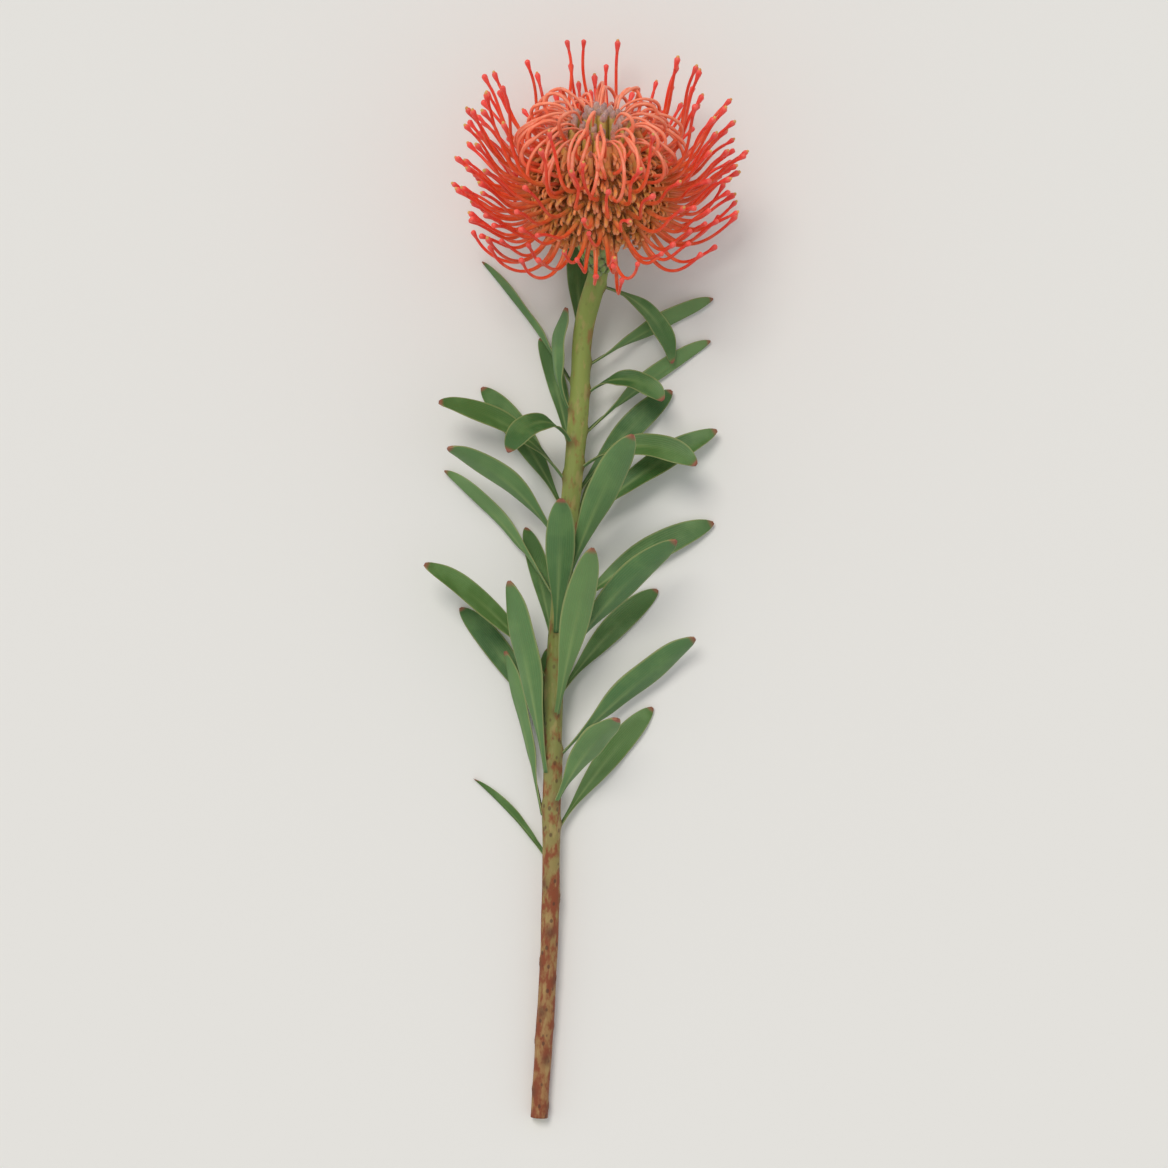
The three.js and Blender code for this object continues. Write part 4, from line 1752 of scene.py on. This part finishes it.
@dataclass(frozen=True)
class Perianth:
    """What the florets' perianths share: their tubes, their rolled claws and their limbs."""

    claw_rings: int = 10
    claw_sides: int = 6
    claw_seed: int = SEED + 100
    claw_wide: float = 1.9
    claw_thick: float = 0.55
    claw_cup: float = 0.28
    claw_spread: float = 3.0
    claw_shapes: int = 8
    limb_long: float = 4.9
    limb_wide: float = 1.42
    limb_shapes: int = 4
    limb_seed: int = SEED + 200
    limb_lobes: float = 0.09

    def tube(
        self, lines: Lines, number: float, way: Sequence[np.ndarray], radii: Sequence[float],
        rng: np.random.Generator,
    ) -> None:
        """Add a perianth tube that starts on the seat.

        Args:
            lines: The carrier that takes it.
            number: The floret.
            way: Out and up of the places that it passes after its foot.
            radii: Its radius at the foot and at each of those places.
            rng: Where its small differences come from.
        """
        out, up = HEAD.seat(number)
        foot = np.array([max(out - 1.0, 0.3), up])
        flat = spline([foot, *way], 3)
        spots = np.linspace(0, 1, len(flat))
        radius = np.interp(spots, np.linspace(0, 1, len(radii)), radii) * rng.uniform(0.93, 1.07, len(flat))
        line = HEAD.pressed(HEAD.point(flat[:, 0], flat[:, 1], number * GOLDEN_ANGLE), 0.6)
        lines.add(line, radius=radius * MM, along=spots, tone=rng.uniform())

    def claw(
        self, places: Places, number: float, radius: float, polar: float, aim: float, lean: float,
        rng: np.random.Generator,
    ) -> None:
        """Add one claw that hangs away from the apex, beside the others of its floret.

        Args:
            places: The carrier that takes it.
            number: The floret.
            radius: How far from the head's middle it starts.
            polar: The floret's angle from the head's axis there.
            aim: The angle that it curls towards, where 0 is away from the apex.
            lean: How far it leans that way at its foot, in radians.
            rng: Where its small differences come from.
        """
        around = number * GOLDEN_ANGLE
        low = HEAD.point(*on_sphere(radius, polar), around, self.claw_spread * math.sin(aim))
        outward = unit(low - np.array(HEAD.centre))
        away = unit(HEAD.point(*on_sphere(radius, polar + 0.05), around) - low)
        side = np.cross(outward, away)
        rolls = away * math.cos(aim) + side * math.sin(aim)
        foot = HEAD.pressed(low + rolls * 0.8, 1.2)
        ahead = outward * math.cos(lean) + rolls * math.sin(lean)
        places.place(
            foot, ahead, rolls, rng.uniform(0.8, 1.2), rng.uniform(), int(rng.integers(self.claw_shapes))
        )

    def claw_shape(self, variant: int) -> bpy.types.Mesh:
        """Build one claw: a felted strap that curls outwards and ends in a small limb.

        Args:
            variant: Which of the slightly different shapes.

        Returns:
            The shape, with +Z out of the head and +X the way it rolls.
        """
        rng = np.random.default_rng(self.claw_seed + variant)
        rise, roll = rng.uniform(1.5, 3.0), rng.uniform(1.7, 3.4)
        first, last = rng.uniform(1.7, 2.6), rng.uniform(0.9, 1.3)
        heading, spot = math.pi / 2 - 0.1, np.array([0.35, rise])
        flat = [np.array([0.0, -1.5]), np.array([0.2, rise * 0.5]), spot]
        turns = self.claw_rings - len(flat)
        for turned in np.linspace(0, 1, turns):
            heading -= roll / turns
            way = np.array([math.cos(heading), math.sin(heading)])
            spot = spot + mix(first, last, turned) * (roll / turns) * way
            flat.append(spot)
        line, shares = np.array(flat), np.linspace(0, 1, self.claw_rings)
        half = 0.5 * self.claw_wide * rng.uniform(0.92, 1.08) * np.interp(
            shares, [0, 0.2, 0.45, 0.7, 0.86, 1.0], [0.75, 0.9, 1.0, 0.8, 0.72, 0.3]
        )
        thick = 0.5 * self.claw_thick * np.interp(shares, [0, 0.6, 0.8, 0.92, 1.0], [1.0, 1.0, 1.9, 2.2, 0.8])
        tangent = unit(np.gradient(line, axis=0))
        normal = np.stack([-tangent[:, 1], tangent[:, 0]], axis=1)
        loop = np.linspace(0, 2 * math.pi, self.claw_sides, endpoint=False)[None, :]
        half, thick = half[:, None], thick[:, None]
        proud = thick * np.sin(loop) - self.claw_cup * half * np.cos(loop) ** 2
        twist = rng.uniform(-1.5, 1.5) * shares[:, None] ** 2 * half
        points = np.stack([
            line[:, :1] + normal[:, :1] * proud,
            half * np.cos(loop) + twist,
            line[:, 1:] + normal[:, 1:] * proud,
        ], axis=-1)
        return make_mesh(
            f"claw_{variant}", points.reshape(-1, 3), tube_faces(self.claw_rings, self.claw_sides),
            along=np.repeat(shares, self.claw_sides),
        )

    def limb(
        self, places: Places, number: float, radius: float, polar: float, nod: float, size: float,
        rng: np.random.Generator,
    ) -> None:
        """Add a floret's closed limb.

        Args:
            places: The carrier that takes it.
            number: The floret.
            radius: How far from the head's middle it starts.
            polar: Its angle from the head's axis.
            nod: How many degrees it leans to the apex.
            size: How large it is beside the common shape.
            rng: Where its small differences come from.
        """
        around = number * GOLDEN_ANGLE
        low = HEAD.point(*on_sphere(radius, polar), around)
        outward = unit(low - np.array(HEAD.centre))
        apex = unit(low - HEAD.point(*on_sphere(radius, polar + 0.05), around))
        lean = math.radians(nod)
        places.place(
            low, outward * math.cos(lean) + apex * math.sin(lean), HEAD.right,
            size * rng.uniform(0.86, 1.12), rng.uniform(), int(rng.integers(self.limb_shapes)),
        )

    def limb_shape(self, variant: int) -> bpy.types.Mesh:
        """Build a closed limb: an egg of four felted lobes.

        Args:
            variant: Which of the slightly different shapes.

        Returns:
            The shape, with +Z towards its tip.
        """
        rng = np.random.default_rng(self.limb_seed + variant)
        long = self.limb_long * rng.uniform(0.94, 1.08)
        profile = (
            (0.62, 0.0), (0.77, 0.12), (0.98, 0.34), (1.0, 0.58), (0.77, 0.82), (0.37, 0.96), (0.09, 1.0),
        )
        points, faces = lathe([(out * self.limb_wide, share * long) for out, share in profile], 8)
        angle, along = np.arctan2(points[:, 1], points[:, 0]), points[:, 2] / long
        points[:, :2] *= (1 + self.limb_lobes * np.cos(4 * angle))[:, None]
        points[:, 0] += rng.uniform(-0.4, 0.4) * along ** 2
        return make_mesh(f"limb_{variant}", points, faces, along=along)


PERIANTH = Perianth()


@dataclass(frozen=True)
class BowedFlorets:
    """The florets round the apex: closed ones, and ones whose style bows out while its tip is still held.

    Where a field has two numbers, they hold for the first and the last bowed floret: the angle at which the
    tip is held, how far the bow dives past its foot, and how high it stands off the dome. Each row of bow
    has how high, how far on its way and how far aside the style is there, as shares.
    """

    first_bowed: int = 12
    extra_from: int = 24
    limb_ring: tuple[float, float] = (math.radians(15), math.radians(37))
    dive: tuple[float, float] = (math.radians(13), math.radians(7))
    lift: tuple[float, float] = (17.5, 10.5)
    bow: tuple[tuple[float, float, float], ...] = (
        (0.04, 0.0, 0.0), (0.42, 0.1, 0.3), (0.78, 0.3, 0.8), (0.96, 0.55, 1.0), (1.0, 0.8, 0.8),
        (0.82, 0.98, 0.45), (0.42, 1.06, 0.2), (-0.06, 1.05, 0.05), (-0.55, 1.0, 0.0),
    )
    sway: float = 6.4
    green_until: float = 0.4
    limb_radius: float = 34.0
    limb_nod: float = 46.0
    claws_from: float = 0.12
    claw_aims: tuple[float, ...] = (-1.0, -0.5, 0.0, 0.5, 1.0)
    extras_behind: float = 0.45
    thick: float = 0.86
    thin: float = 0.5
    points: int = 24

    def build(self, middle: Carriers, ring: Carriers, rng: np.random.Generator) -> None:
        """Add every closed and bowed floret, and the ones that crowd in between.

        Args:
            middle: The carriers of the head's closed middle.
            ring: The carriers of the rows round it.
            rng: Where the small differences come from.
        """
        for number in range(HEAD.first_free):
            carriers = middle if number < HEAD.buds else ring
            if number < self.first_bowed:
                self.closed(number, carriers, rng)
            else:
                self.bowed(number, carriers, rng)
            behind = math.cos(number * GOLDEN_ANGLE) < self.extras_behind
            if number >= self.extra_from and number % 3 == 0 and behind:
                self.bowed(number + 0.5, carriers, rng)

    @staticmethod
    def closed(number: int, carriers: Carriers, rng: np.random.Generator) -> None:
        """Add a floret that is still closed, in the tight bundle that stands out at the apex.

        Args:
            number: The floret.
            carriers: The carriers that take it.
            rng: Where its small differences come from.
        """
        polar = HEAD.polar(number)
        reach, top = 37.0 + rng.uniform(-1.0, 0.6), polar * 0.46
        way = [on_sphere(20, polar * 0.8), on_sphere(30, polar * 0.56), on_sphere(reach, top)]
        PERIANTH.tube(carriers.green_tubes, number, way, (0.8, 1.6, 1.7, 1.3), rng)
        PERIANTH.limb(carriers.bud_limbs, number, reach - 0.5, top, rng.uniform(-16, 8), 0.95, rng)

    def bowed(self, number: float, carriers: Carriers, rng: np.random.Generator) -> None:
        """Add a floret whose style still bows out of its perianth, with its tip held near the apex.

        Args:
            number: The floret.
            carriers: The carriers that take it.
            rng: Where its small differences come from.
        """
        polar, around = HEAD.polar(number), number * GOLDEN_ANGLE + math.radians(rng.uniform(-3.5, 3.5))
        share = (number - self.first_bowed) / (HEAD.first_free - self.first_bowed)
        held = min(mix(*self.limb_ring, share), polar - math.radians(8))
        held += math.radians(rng.uniform(-8, 8) * share ** 0.6)
        lands = polar + mix(*self.dive, share) + math.radians(rng.uniform(-9.0, 5.0))
        lift = mix(*self.lift, share ** 0.6) * rng.uniform(0.6, 1.06)
        flat = spline([
            on_sphere(HEAD.dome_radius + up * lift, mix(held, lands, way)) for up, way, _ in self.bow
        ], 4)
        sides = [side for *_, side in self.bow]
        aside = np.interp(np.linspace(0, 1, len(flat)), np.linspace(0, 1, len(sides)), sides)
        aside *= self.sway * rng.choice([-1.0, 1.0]) * rng.uniform(0.15, 1.0)
        line = respaced(np.column_stack([flat, aside]), self.points)
        shares = np.linspace(0, 1, len(line))
        spots = HEAD.pressed(HEAD.point(line[:, 0], line[:, 1], around, line[:, 2]), 0.9)
        radius = mix(self.thin, self.thick, ease(shares, 0.0, 0.5))
        carriers.bowed_styles.add(spots, radius=radius * MM, along=shares, tone=rng.uniform())
        green = share + rng.uniform(-0.12, 0.12) < self.green_until
        tubes = carriers.green_tubes if green else carriers.tan_tubes
        way = [
            on_sphere(23, polar * 0.97), on_sphere(29.5, mix(held, polar, 0.62)),
            on_sphere(34.2, held + math.radians(2.5)),
        ]
        PERIANTH.tube(tubes, number, way, (0.9, 1.7, 1.8, 1.1), rng)
        grey = number < HEAD.buds or share < rng.uniform(0.1, 0.34)
        limbs, size = (carriers.bud_limbs, 1.0) if grey else (carriers.tan_limbs, 0.8)
        nod = rng.uniform(0, self.limb_nod)
        PERIANTH.limb(limbs, number, self.limb_radius, held + math.radians(2), nod, size, rng)
        if share > self.claws_from:
            for aim in self.claw_aims:
                low, place = rng.uniform(29.6, 32.0), polar + rng.uniform(-0.12, 0.05)
                curl, lean = aim + rng.uniform(-0.4, 0.4), rng.uniform(0.3, 1.1)
                PERIANTH.claw(carriers.claws, number, low, place, curl, lean, rng)


@dataclass(frozen=True)
class OpenFlorets:
    """The open florets: rolled claws round a free style that curves up to its presenter.

    The presenters lie on a sphere, the crown, from crown_top to crown_edge. leave and arrive are how far a
    style holds its direction at each end, and hang is how many degrees lower the last ones leave. tip_lean is
    how many degrees the first and the last tips lean off the axis, with tip_lean_between more between them.
    """

    claw_radius: float = 30.0
    claw_aims: tuple[float, ...] = (-0.9, -0.45, 0.0, 0.45, 0.9)
    crown_radius: float = 64.0
    crown_rise: float = 9.0
    crown_top: float = math.radians(48)
    crown_edge: float = math.radians(118)
    lowest: int = 150
    hang: float = 26.0
    leave: float = 15.0
    arrive: float = 13.0
    tip_lean: tuple[float, float] = (20.0, 34.0)
    tip_lean_between: float = 36.0
    beaded: float = 0.65
    beaded_in_front: float = 0.2
    thick: float = 1.12
    thin: float = 0.74
    points: int = 22
    presenter_long: float = 6.4
    presenter_wide: float = 1.42
    presenter_seed: int = SEED + 300
    bead_reach: float = 1.12
    bare_shapes: int = 2
    beaded_shapes: int = 2

    def build(self, carriers: Carriers, rng: np.random.Generator) -> None:
        """Add every open floret, and the ones that crowd in between.

        Args:
            carriers: The carriers that take them.
            rng: Where the small differences come from.
        """
        between = [
            number + 0.5 for number in range(HEAD.first_free, HEAD.florets - 1)
            if number % 3 and (math.cos((number + 0.5) * GOLDEN_ANGLE) < 0.6 or number > self.lowest)
        ]
        for number in [*range(HEAD.first_free, HEAD.florets), *between]:
            self.style(number, carriers, rng)
            polar = HEAD.polar(number)
            way = [on_sphere(radius, polar) for radius in (20.0, 27.0, self.claw_radius)]
            PERIANTH.tube(carriers.tan_tubes, number, way, (0.9, 1.5, 1.7, 1.2), rng)
            for aim in self.claw_aims:
                lean, place = rng.uniform(0.2, 1.0), polar + rng.uniform(-0.07, 0.06)
                low, curl = self.claw_radius + rng.uniform(-0.8, 0.8), aim + rng.uniform(-0.4, 0.4)
                PERIANTH.claw(carriers.claws, number, low, place, curl, lean, rng)

    def style(self, number: float, carriers: Carriers, rng: np.random.Generator) -> None:
        """Add the free style with its presenter.

        Args:
            number: The floret.
            carriers: The carriers that take it.
            rng: Where its small differences come from.
        """
        polar, around = HEAD.polar(number), number * GOLDEN_ANGLE
        share = (number + 0.5 - HEAD.first_free) / (HEAD.florets - HEAD.first_free)
        tip_polar = mix(self.crown_top, self.crown_edge, share ** 0.7) + math.radians(rng.uniform(-4.5, 4.5))
        tip = on_sphere(self.crown_radius + rng.uniform(-7.0, 1.0), tip_polar)
        tip += np.array([0.0, self.crown_rise])
        lean = mix(*self.tip_lean, share) + self.tip_lean_between * math.sin(math.pi * share)
        lean = math.radians(lean + rng.uniform(-11, 11))
        leave = polar + math.radians(6 + self.hang * share ** 3 + rng.uniform(-4, 4))
        claw = on_sphere(self.claw_radius, polar)
        flat = bezier([
            claw,
            claw + np.array([math.sin(leave), math.cos(leave)]) * (self.leave + 5 + 5 * share ** 3),
            tip - np.array([math.sin(lean), math.cos(lean)]) * self.arrive,
            tip,
        ], np.linspace(0, 1, 40))
        flat = respaced(flat, self.points)
        shares = np.linspace(0, 1, len(flat))
        aside = rng.uniform(-6.0, 6.0) * ease(shares, 0.1, 1.0)
        aside += rng.uniform(-0.9, 0.9) * np.sin(2 * math.pi * shares)
        line = HEAD.pressed(HEAD.point(flat[:, 0], flat[:, 1], around, aside), mix(1.1, 1.8, shares))
        radius = mix(self.thick, self.thin, ease(shares, 0.0, 0.7))
        carriers.free_styles.add(line, radius=radius * MM, along=shares, tone=rng.uniform())
        ahead = unit(line[-1] - line[-2])
        in_front = math.cos(around) * share > 0.3
        beaded = rng.uniform() < (self.beaded_in_front if in_front else self.beaded)
        first, kinds = (self.bare_shapes, self.beaded_shapes) if beaded else (0, self.bare_shapes)
        pick = first + int(rng.integers(kinds))
        carriers.presenters.place(
            line[-1] - ahead * 0.3, ahead, HEAD.axis, rng.uniform(0.84, 1.08), rng.uniform(), pick
        )

    def presenter_shape(self, variant: int) -> bpy.types.Mesh:
        """Build a pollen presenter: a club that swells to a blunt cone, some with a stigma bead on top.

        Args:
            variant: Which of the shapes, the bare ones first.

        Returns:
            The shape, with +Z towards its tip.
        """
        rng = np.random.default_rng(self.presenter_seed + variant)
        profile = [
            (0.5, 0.0), (0.54, 0.18), (0.66, 0.36), (0.82, 0.54), (0.95, 0.7), (1.0, 0.8), (0.92, 0.88),
            (0.66, 0.94),
        ]
        if variant < self.bare_shapes:
            profile += [(0.34, 0.98), (0.06, 1.0)]
            ramp_end = 0.82
        else:
            profile += [(0.56, 1.0), (0.46, 1.07), (0.08, self.bead_reach)]
            ramp_end = 1.0 / self.bead_reach
        long, wide = self.presenter_long, self.presenter_wide
        points, faces = lathe([(out * wide, share * long) for out, share in profile], 8)
        share = points[:, 2] / long
        points[:, 0] += rng.uniform(-0.5, 0.5) * share ** 2
        return make_mesh(f"presenter_{variant}", points, faces, along=np.clip(share * ramp_end, 0, 1))


@dataclass(frozen=True)
class FlowerHead:
    """The flower head: every floret, made piece by piece from its carriers."""

    tube_sides: int = 8
    limb_wool: Wool = Wool(density=3.0e6)
    claw_wool: Wool = Wool(density=1.0e6)
    tufts: Wool = Wool(density=1.3e6, long=1.5, thick=0.34, lean=0.9, seed=9)
    base_radius: float = 28.9
    base_lumps: float = 0.7
    base_low: float = math.radians(127)
    base_high: float = math.radians(14)
    base_rings: int = 26
    base_sides: int = 56
    middle_nodes: tuple[str, ...] = ("bud_cluster",)
    ring_nodes: tuple[str, ...] = tuple(f"floret_row_{k:02d}" for k in range(1, 22))

    def build(self) -> None:
        """Build and dress every piece of the head."""
        rng = np.random.default_rng(SEED)
        middle, ring = Carriers(), Carriers()
        BowedFlorets().build(middle, ring, rng)
        opened = OpenFlorets()
        opened.build(ring, rng)
        self.tubes(middle, ring)
        self.copies(middle, ring, opened)
        self.bases()

    def tubes(self, middle: Carriers, ring: Carriers) -> None:
        """Skin the styles and the perianth tubes.

        Args:
            middle: The carriers of the head's closed middle.
            ring: The carriers of the rows round it.
        """
        bowed, green = HOOP_SKIN.build(), GREEN_TUBE.build()
        for name, lines, finish, slot, nodes in (
            ("free_styles", ring.free_styles, STYLE_SKIN.build(), Slot.FLORET, self.ring_nodes),
            ("bowed_styles", ring.bowed_styles, bowed, Slot.FLORET, self.ring_nodes),
            ("middle_bowed_styles", middle.bowed_styles, bowed, Slot.FLORET, self.middle_nodes),
            ("green_perianth_tubes", ring.green_tubes, green, Slot.PERIANTH, self.ring_nodes),
            ("tan_perianth_tubes", ring.tan_tubes, TAN_TUBE.build(), Slot.PERIANTH, self.ring_nodes),
            ("bud_tubes", middle.green_tubes, green, Slot.BUD, self.middle_nodes),
        ):
            piece = tube_growth().grow(name, lines.mesh(name), finish, Sides=self.tube_sides)
            keep(piece, slot, *nodes)

    def copies(self, middle: Carriers, ring: Carriers, opened: OpenFlorets) -> None:
        """Set the presenters, the claws and the limbs, and cover them with wool.

        Args:
            middle: The carriers of the head's closed middle.
            ring: The carriers of the rows round it.
            opened: The open florets, which know the presenter's shapes.
        """
        kinds = opened.bare_shapes + opened.beaded_shapes
        presenters = Shapes("presenter_shape", [opened.presenter_shape(k) for k in range(kinds)])
        claws = Shapes("claw_shape", [PERIANTH.claw_shape(k) for k in range(PERIANTH.claw_shapes)])
        limbs = Shapes("limb_shape", [PERIANTH.limb_shape(k) for k in range(PERIANTH.limb_shapes)])
        crimson, claw_felt, limb_felt = PRESENTER_SKIN.build(), CLAW_FELT.build(), LIMB_FELT.build()
        silver, tan, bud_felt = SILVER_HAIR.build(), TAN_HAIR.build(), BUD_FELT.build()
        made = {}
        for name, places, shapes, finish, slot, nodes in (
            ("pollen_presenters", ring.presenters, presenters, crimson, Slot.PRESENTER, self.ring_nodes),
            ("rolled_claws", ring.claws, claws, claw_felt, Slot.PERIANTH, self.ring_nodes),
            ("grey_limbs", ring.bud_limbs, limbs, bud_felt, Slot.PERIANTH, self.ring_nodes),
            ("tan_limbs", ring.tan_limbs, limbs, limb_felt, Slot.PERIANTH, self.ring_nodes),
            ("bud_limbs", middle.bud_limbs, limbs, bud_felt, Slot.BUD, self.middle_nodes),
        ):
            piece = copy_growth().grow(name, places.mesh(name), finish, Shapes=shapes.collection)
            made[name] = keep(piece, slot, *nodes)
        for shapes in (presenters, claws, limbs):
            shapes.remove()
        for name, coated, wool, hair, slot, nodes in (
            ("grey_limb_wool", "grey_limbs", self.limb_wool, silver, Slot.PERIANTH, self.ring_nodes),
            ("tan_limb_wool", "tan_limbs", self.limb_wool, tan, Slot.PERIANTH, self.ring_nodes),
            ("bud_wool", "bud_limbs", self.limb_wool, silver, Slot.BUD, self.middle_nodes),
            ("claw_wool", "rolled_claws", self.claw_wool, tan, Slot.PERIANTH, self.ring_nodes),
        ):
            keep(wool.cover(name, made[coated], hair), slot, *nodes)

    def bases(self) -> None:
        """Fill the deep of the head with the matted wool in which the florets stand."""
        polar = np.linspace(self.base_low, self.base_high, self.base_rings)[:, None]
        around = np.linspace(0, 2 * math.pi, self.base_sides, endpoint=False)[None, :]
        lumps = self.base_lumps * np.sin(13 * around + 9 * polar) * np.sin(21 * polar - 5 * around)
        closing = np.array([0.8, 0.95, *[1.0] * (self.base_rings - 4), 0.97, 0.9])[:, None]
        radius = (self.base_radius + lumps) * closing
        points = HEAD.pressed(HEAD.point(radius * np.sin(polar), radius * np.cos(polar), around), 0.8)
        mesh = make_mesh(
            "floret_wool", points.reshape(-1, 3), tube_faces(self.base_rings, self.base_sides),
            along=np.repeat(np.linspace(0, 1, self.base_rings), self.base_sides),
        )
        felt = BASE_FELT.build()
        base = keep(link_object("floret_wool", mesh, felt), Slot.PERIANTH, *self.ring_nodes)
        keep(self.tufts.cover("floret_wool_tufts", base, felt), Slot.PERIANTH, *self.ring_nodes)


# The involucre


@dataclass(frozen=True)
class Involucre:
    """The collar of woolly bracts under the flower head.

    Where a field has two numbers, they hold for the lowest and the highest bract. The heights are along the
    head's axis, out is how far from it a bract's foot stands, and opening is how far it leans away from it.
    """

    bracts: int = 52
    height: tuple[float, float] = (-43.0, -29.5)
    out: tuple[float, float] = (4.9, 9.0)
    opening: tuple[float, float] = (0.34, 0.2)
    size: tuple[float, float] = (0.62, 0.95)
    wool: Wool = Wool(density=1.2e6, thick=0.035, lean=0.9, seed=8)
    long: float = 8.2
    wide: float = 2.9
    blunt: float = 0.12
    foot: float = 0.18
    thick: float = 0.28
    belly: float = 0.9
    tip_out: float = 0.5
    cup: float = 0.12
    rings: int = 7
    shapes: int = 3

    def bract_shape(self, variant: int) -> bpy.types.Mesh:
        """Build one bract: a small pointed scale, hollow towards the stem.

        Args:
            variant: Which of the slightly different shapes.

        Returns:
            The shape, with +Z towards its point and +X away from the stem.
        """
        rng = np.random.default_rng(SEED + 400 + variant)
        long = self.long * rng.uniform(0.92, 1.1)
        rings, shares = [], np.linspace(0, 1, self.rings)
        for share in shares:
            half = self.wide * math.sin(math.pi * min(mix(self.foot, 1.0, share), 1.0)) ** 0.8 + self.blunt
            belly = self.belly * math.sin(math.pi * share) + self.tip_out * share ** 3
            thick = self.thick * (1 - 0.6 * share)
            edge = belly - self.cup * half * half
            rings.append([
                (edge, -half, share * long), (belly + thick, 0.0, share * long),
                (edge, half, share * long), (belly - thick, 0.0, share * long),
            ])
        return make_mesh(
            f"bract_{variant}", np.array(rings).reshape(-1, 3), tube_faces(self.rings, 4),
            along=np.repeat(shares, 4),
        )

    def build(self) -> None:
        """Build and dress the bracts in their spiral."""
        rng = np.random.default_rng(SEED + 5)
        places = Places()
        for number in range(self.bracts):
            share, around = (number + 0.5) / self.bracts, number * GOLDEN_ANGLE
            up, out = mix(*self.height, share), mix(*self.out, share ** 0.8)
            root = HEAD.point(out, up, around)
            outward = HEAD.point(out + 1, up, around) - root
            ahead = HEAD.axis + outward * mix(*self.opening, share)
            size = mix(*self.size, share) * rng.uniform(0.9, 1.1)
            places.place(root, ahead, outward, size, rng.uniform(), int(rng.integers(self.shapes)))
        name = "involucre_bracts"
        shapes = Shapes("bract_shape", [self.bract_shape(k) for k in range(self.shapes)])
        bracts = copy_growth().grow(name, places.mesh(name), BRACT_FELT.build(), Shapes=shapes.collection)
        shapes.remove()
        keep(bracts, Slot.BRACT, "involucre")
        keep(self.wool.cover("bract_wool", bracts, BRACT_HAIR.build()), Slot.BRACT, "involucre")


# The studio


@dataclass(frozen=True)
class Studio:
    """A pale floor, soft light and the camera."""

    picture_turn: float = math.radians(3.87)
    picture_width: float = 548.0
    picture_centre: tuple[float, float] = (6.7, 0.3)
    camera_height: float = 2000.0
    sensor: float = 36.0
    floor_side: float = 20000.0
    sun_from: tuple[float, float, float] = (0.42, 0.26, 0.87)
    sun_strength: float = 1.3
    sun_spread: float = math.radians(24)
    sky_top: str = "#acadaf"
    sky_edge: str = "#dfdfdd"

    def camera(self) -> None:
        """Look straight down, with the flower at the top of the picture."""
        turn = self.picture_turn
        right = np.array([math.sin(turn), -math.cos(turn), 0.0])
        up = np.array([math.cos(turn), math.sin(turn), 0.0])
        place = right * self.picture_centre[0] + up * self.picture_centre[1]
        data = bpy.data.cameras.new("camera")
        data.sensor_width = self.sensor
        data.lens = self.sensor * (self.camera_height - HEAD.centre[2] / 2) / self.picture_width
        data.clip_end = 100.0
        camera = bpy.data.objects.new("camera", data)
        matrix = Matrix.Identity(4)
        for column, vector in enumerate((right, up, np.array([0.0, 0.0, 1.0]))):
            matrix.col[column] = (*vector, 0.0)
        matrix.translation = Vector((*(place[:2] * MM), self.camera_height * MM))
        camera.matrix_world = matrix
        bpy.context.scene.collection.objects.link(camera)
        bpy.context.scene.camera = camera

    def floor(self) -> None:
        """Lay a large plain pale floor."""
        side = self.floor_side
        points = np.array([[-side, -side, 0], [side, -side, 0], [side, side, 0], [-side, side, 0]], float)
        finish = Finish(name="pale_matt_floor", stops=((0.0, "#f0efec"),), roughness=0.95)
        piece = link_object("floor", make_mesh("floor", points, [(0, 1, 2, 3)]), finish.build())

    def sun(self) -> None:
        """Hang one large soft light far away, a little towards the flower and to the left."""
        data = bpy.data.lights.new("soft_key", "SUN")
        data.energy, data.angle = self.sun_strength, self.sun_spread
        data.color = linear("#fffbf4")[:3]
        lamp = bpy.data.objects.new("soft_key", data)
        lamp.rotation_mode = "QUATERNION"
        lamp.rotation_quaternion = (-Vector(self.sun_from)).to_track_quat("-Z", "Y")
        bpy.context.scene.collection.objects.link(lamp)

    def sky(self) -> None:
        """Surround the plant with even light that meets the floor's own brightness at the horizon."""
        world = bpy.data.worlds.new("studio")
        world.use_nodes = True
        tree = world.node_tree
        way = add_node(tree, "ShaderNodeTexCoord").outputs["Generated"]
        height = add_node(tree, "ShaderNodeSeparateXYZ", values={"Vector": way}).outputs["Z"]
        colour = add_node(tree, "ShaderNodeMix", {"data_type": "RGBA"}, {
            "Factor": height, UNDER: linear(self.sky_edge), OVER: linear(self.sky_top),
        })
        tree.links.new(colour.outputs[MIXED], tree.nodes["Background"].inputs["Color"])
        bpy.context.scene.world = world

    def build(self) -> None:
        """Set up the camera, the floor, the light and the sky."""
        self.camera()
        self.floor()
        self.sun()
        self.sky()
        bpy.context.scene.view_settings.view_transform = "Standard"


def main() -> None:
    """Build the studio and every part of the plant."""
    logging.basicConfig(level=logging.INFO, format="%(name)s %(message)s")
    Studio().build()
    STEM.bark_piece()
    STEM.cut_face()
    Foliage().build()
    FlowerHead().build()
    Involucre().build()


if __name__ == "__main__":
    main()
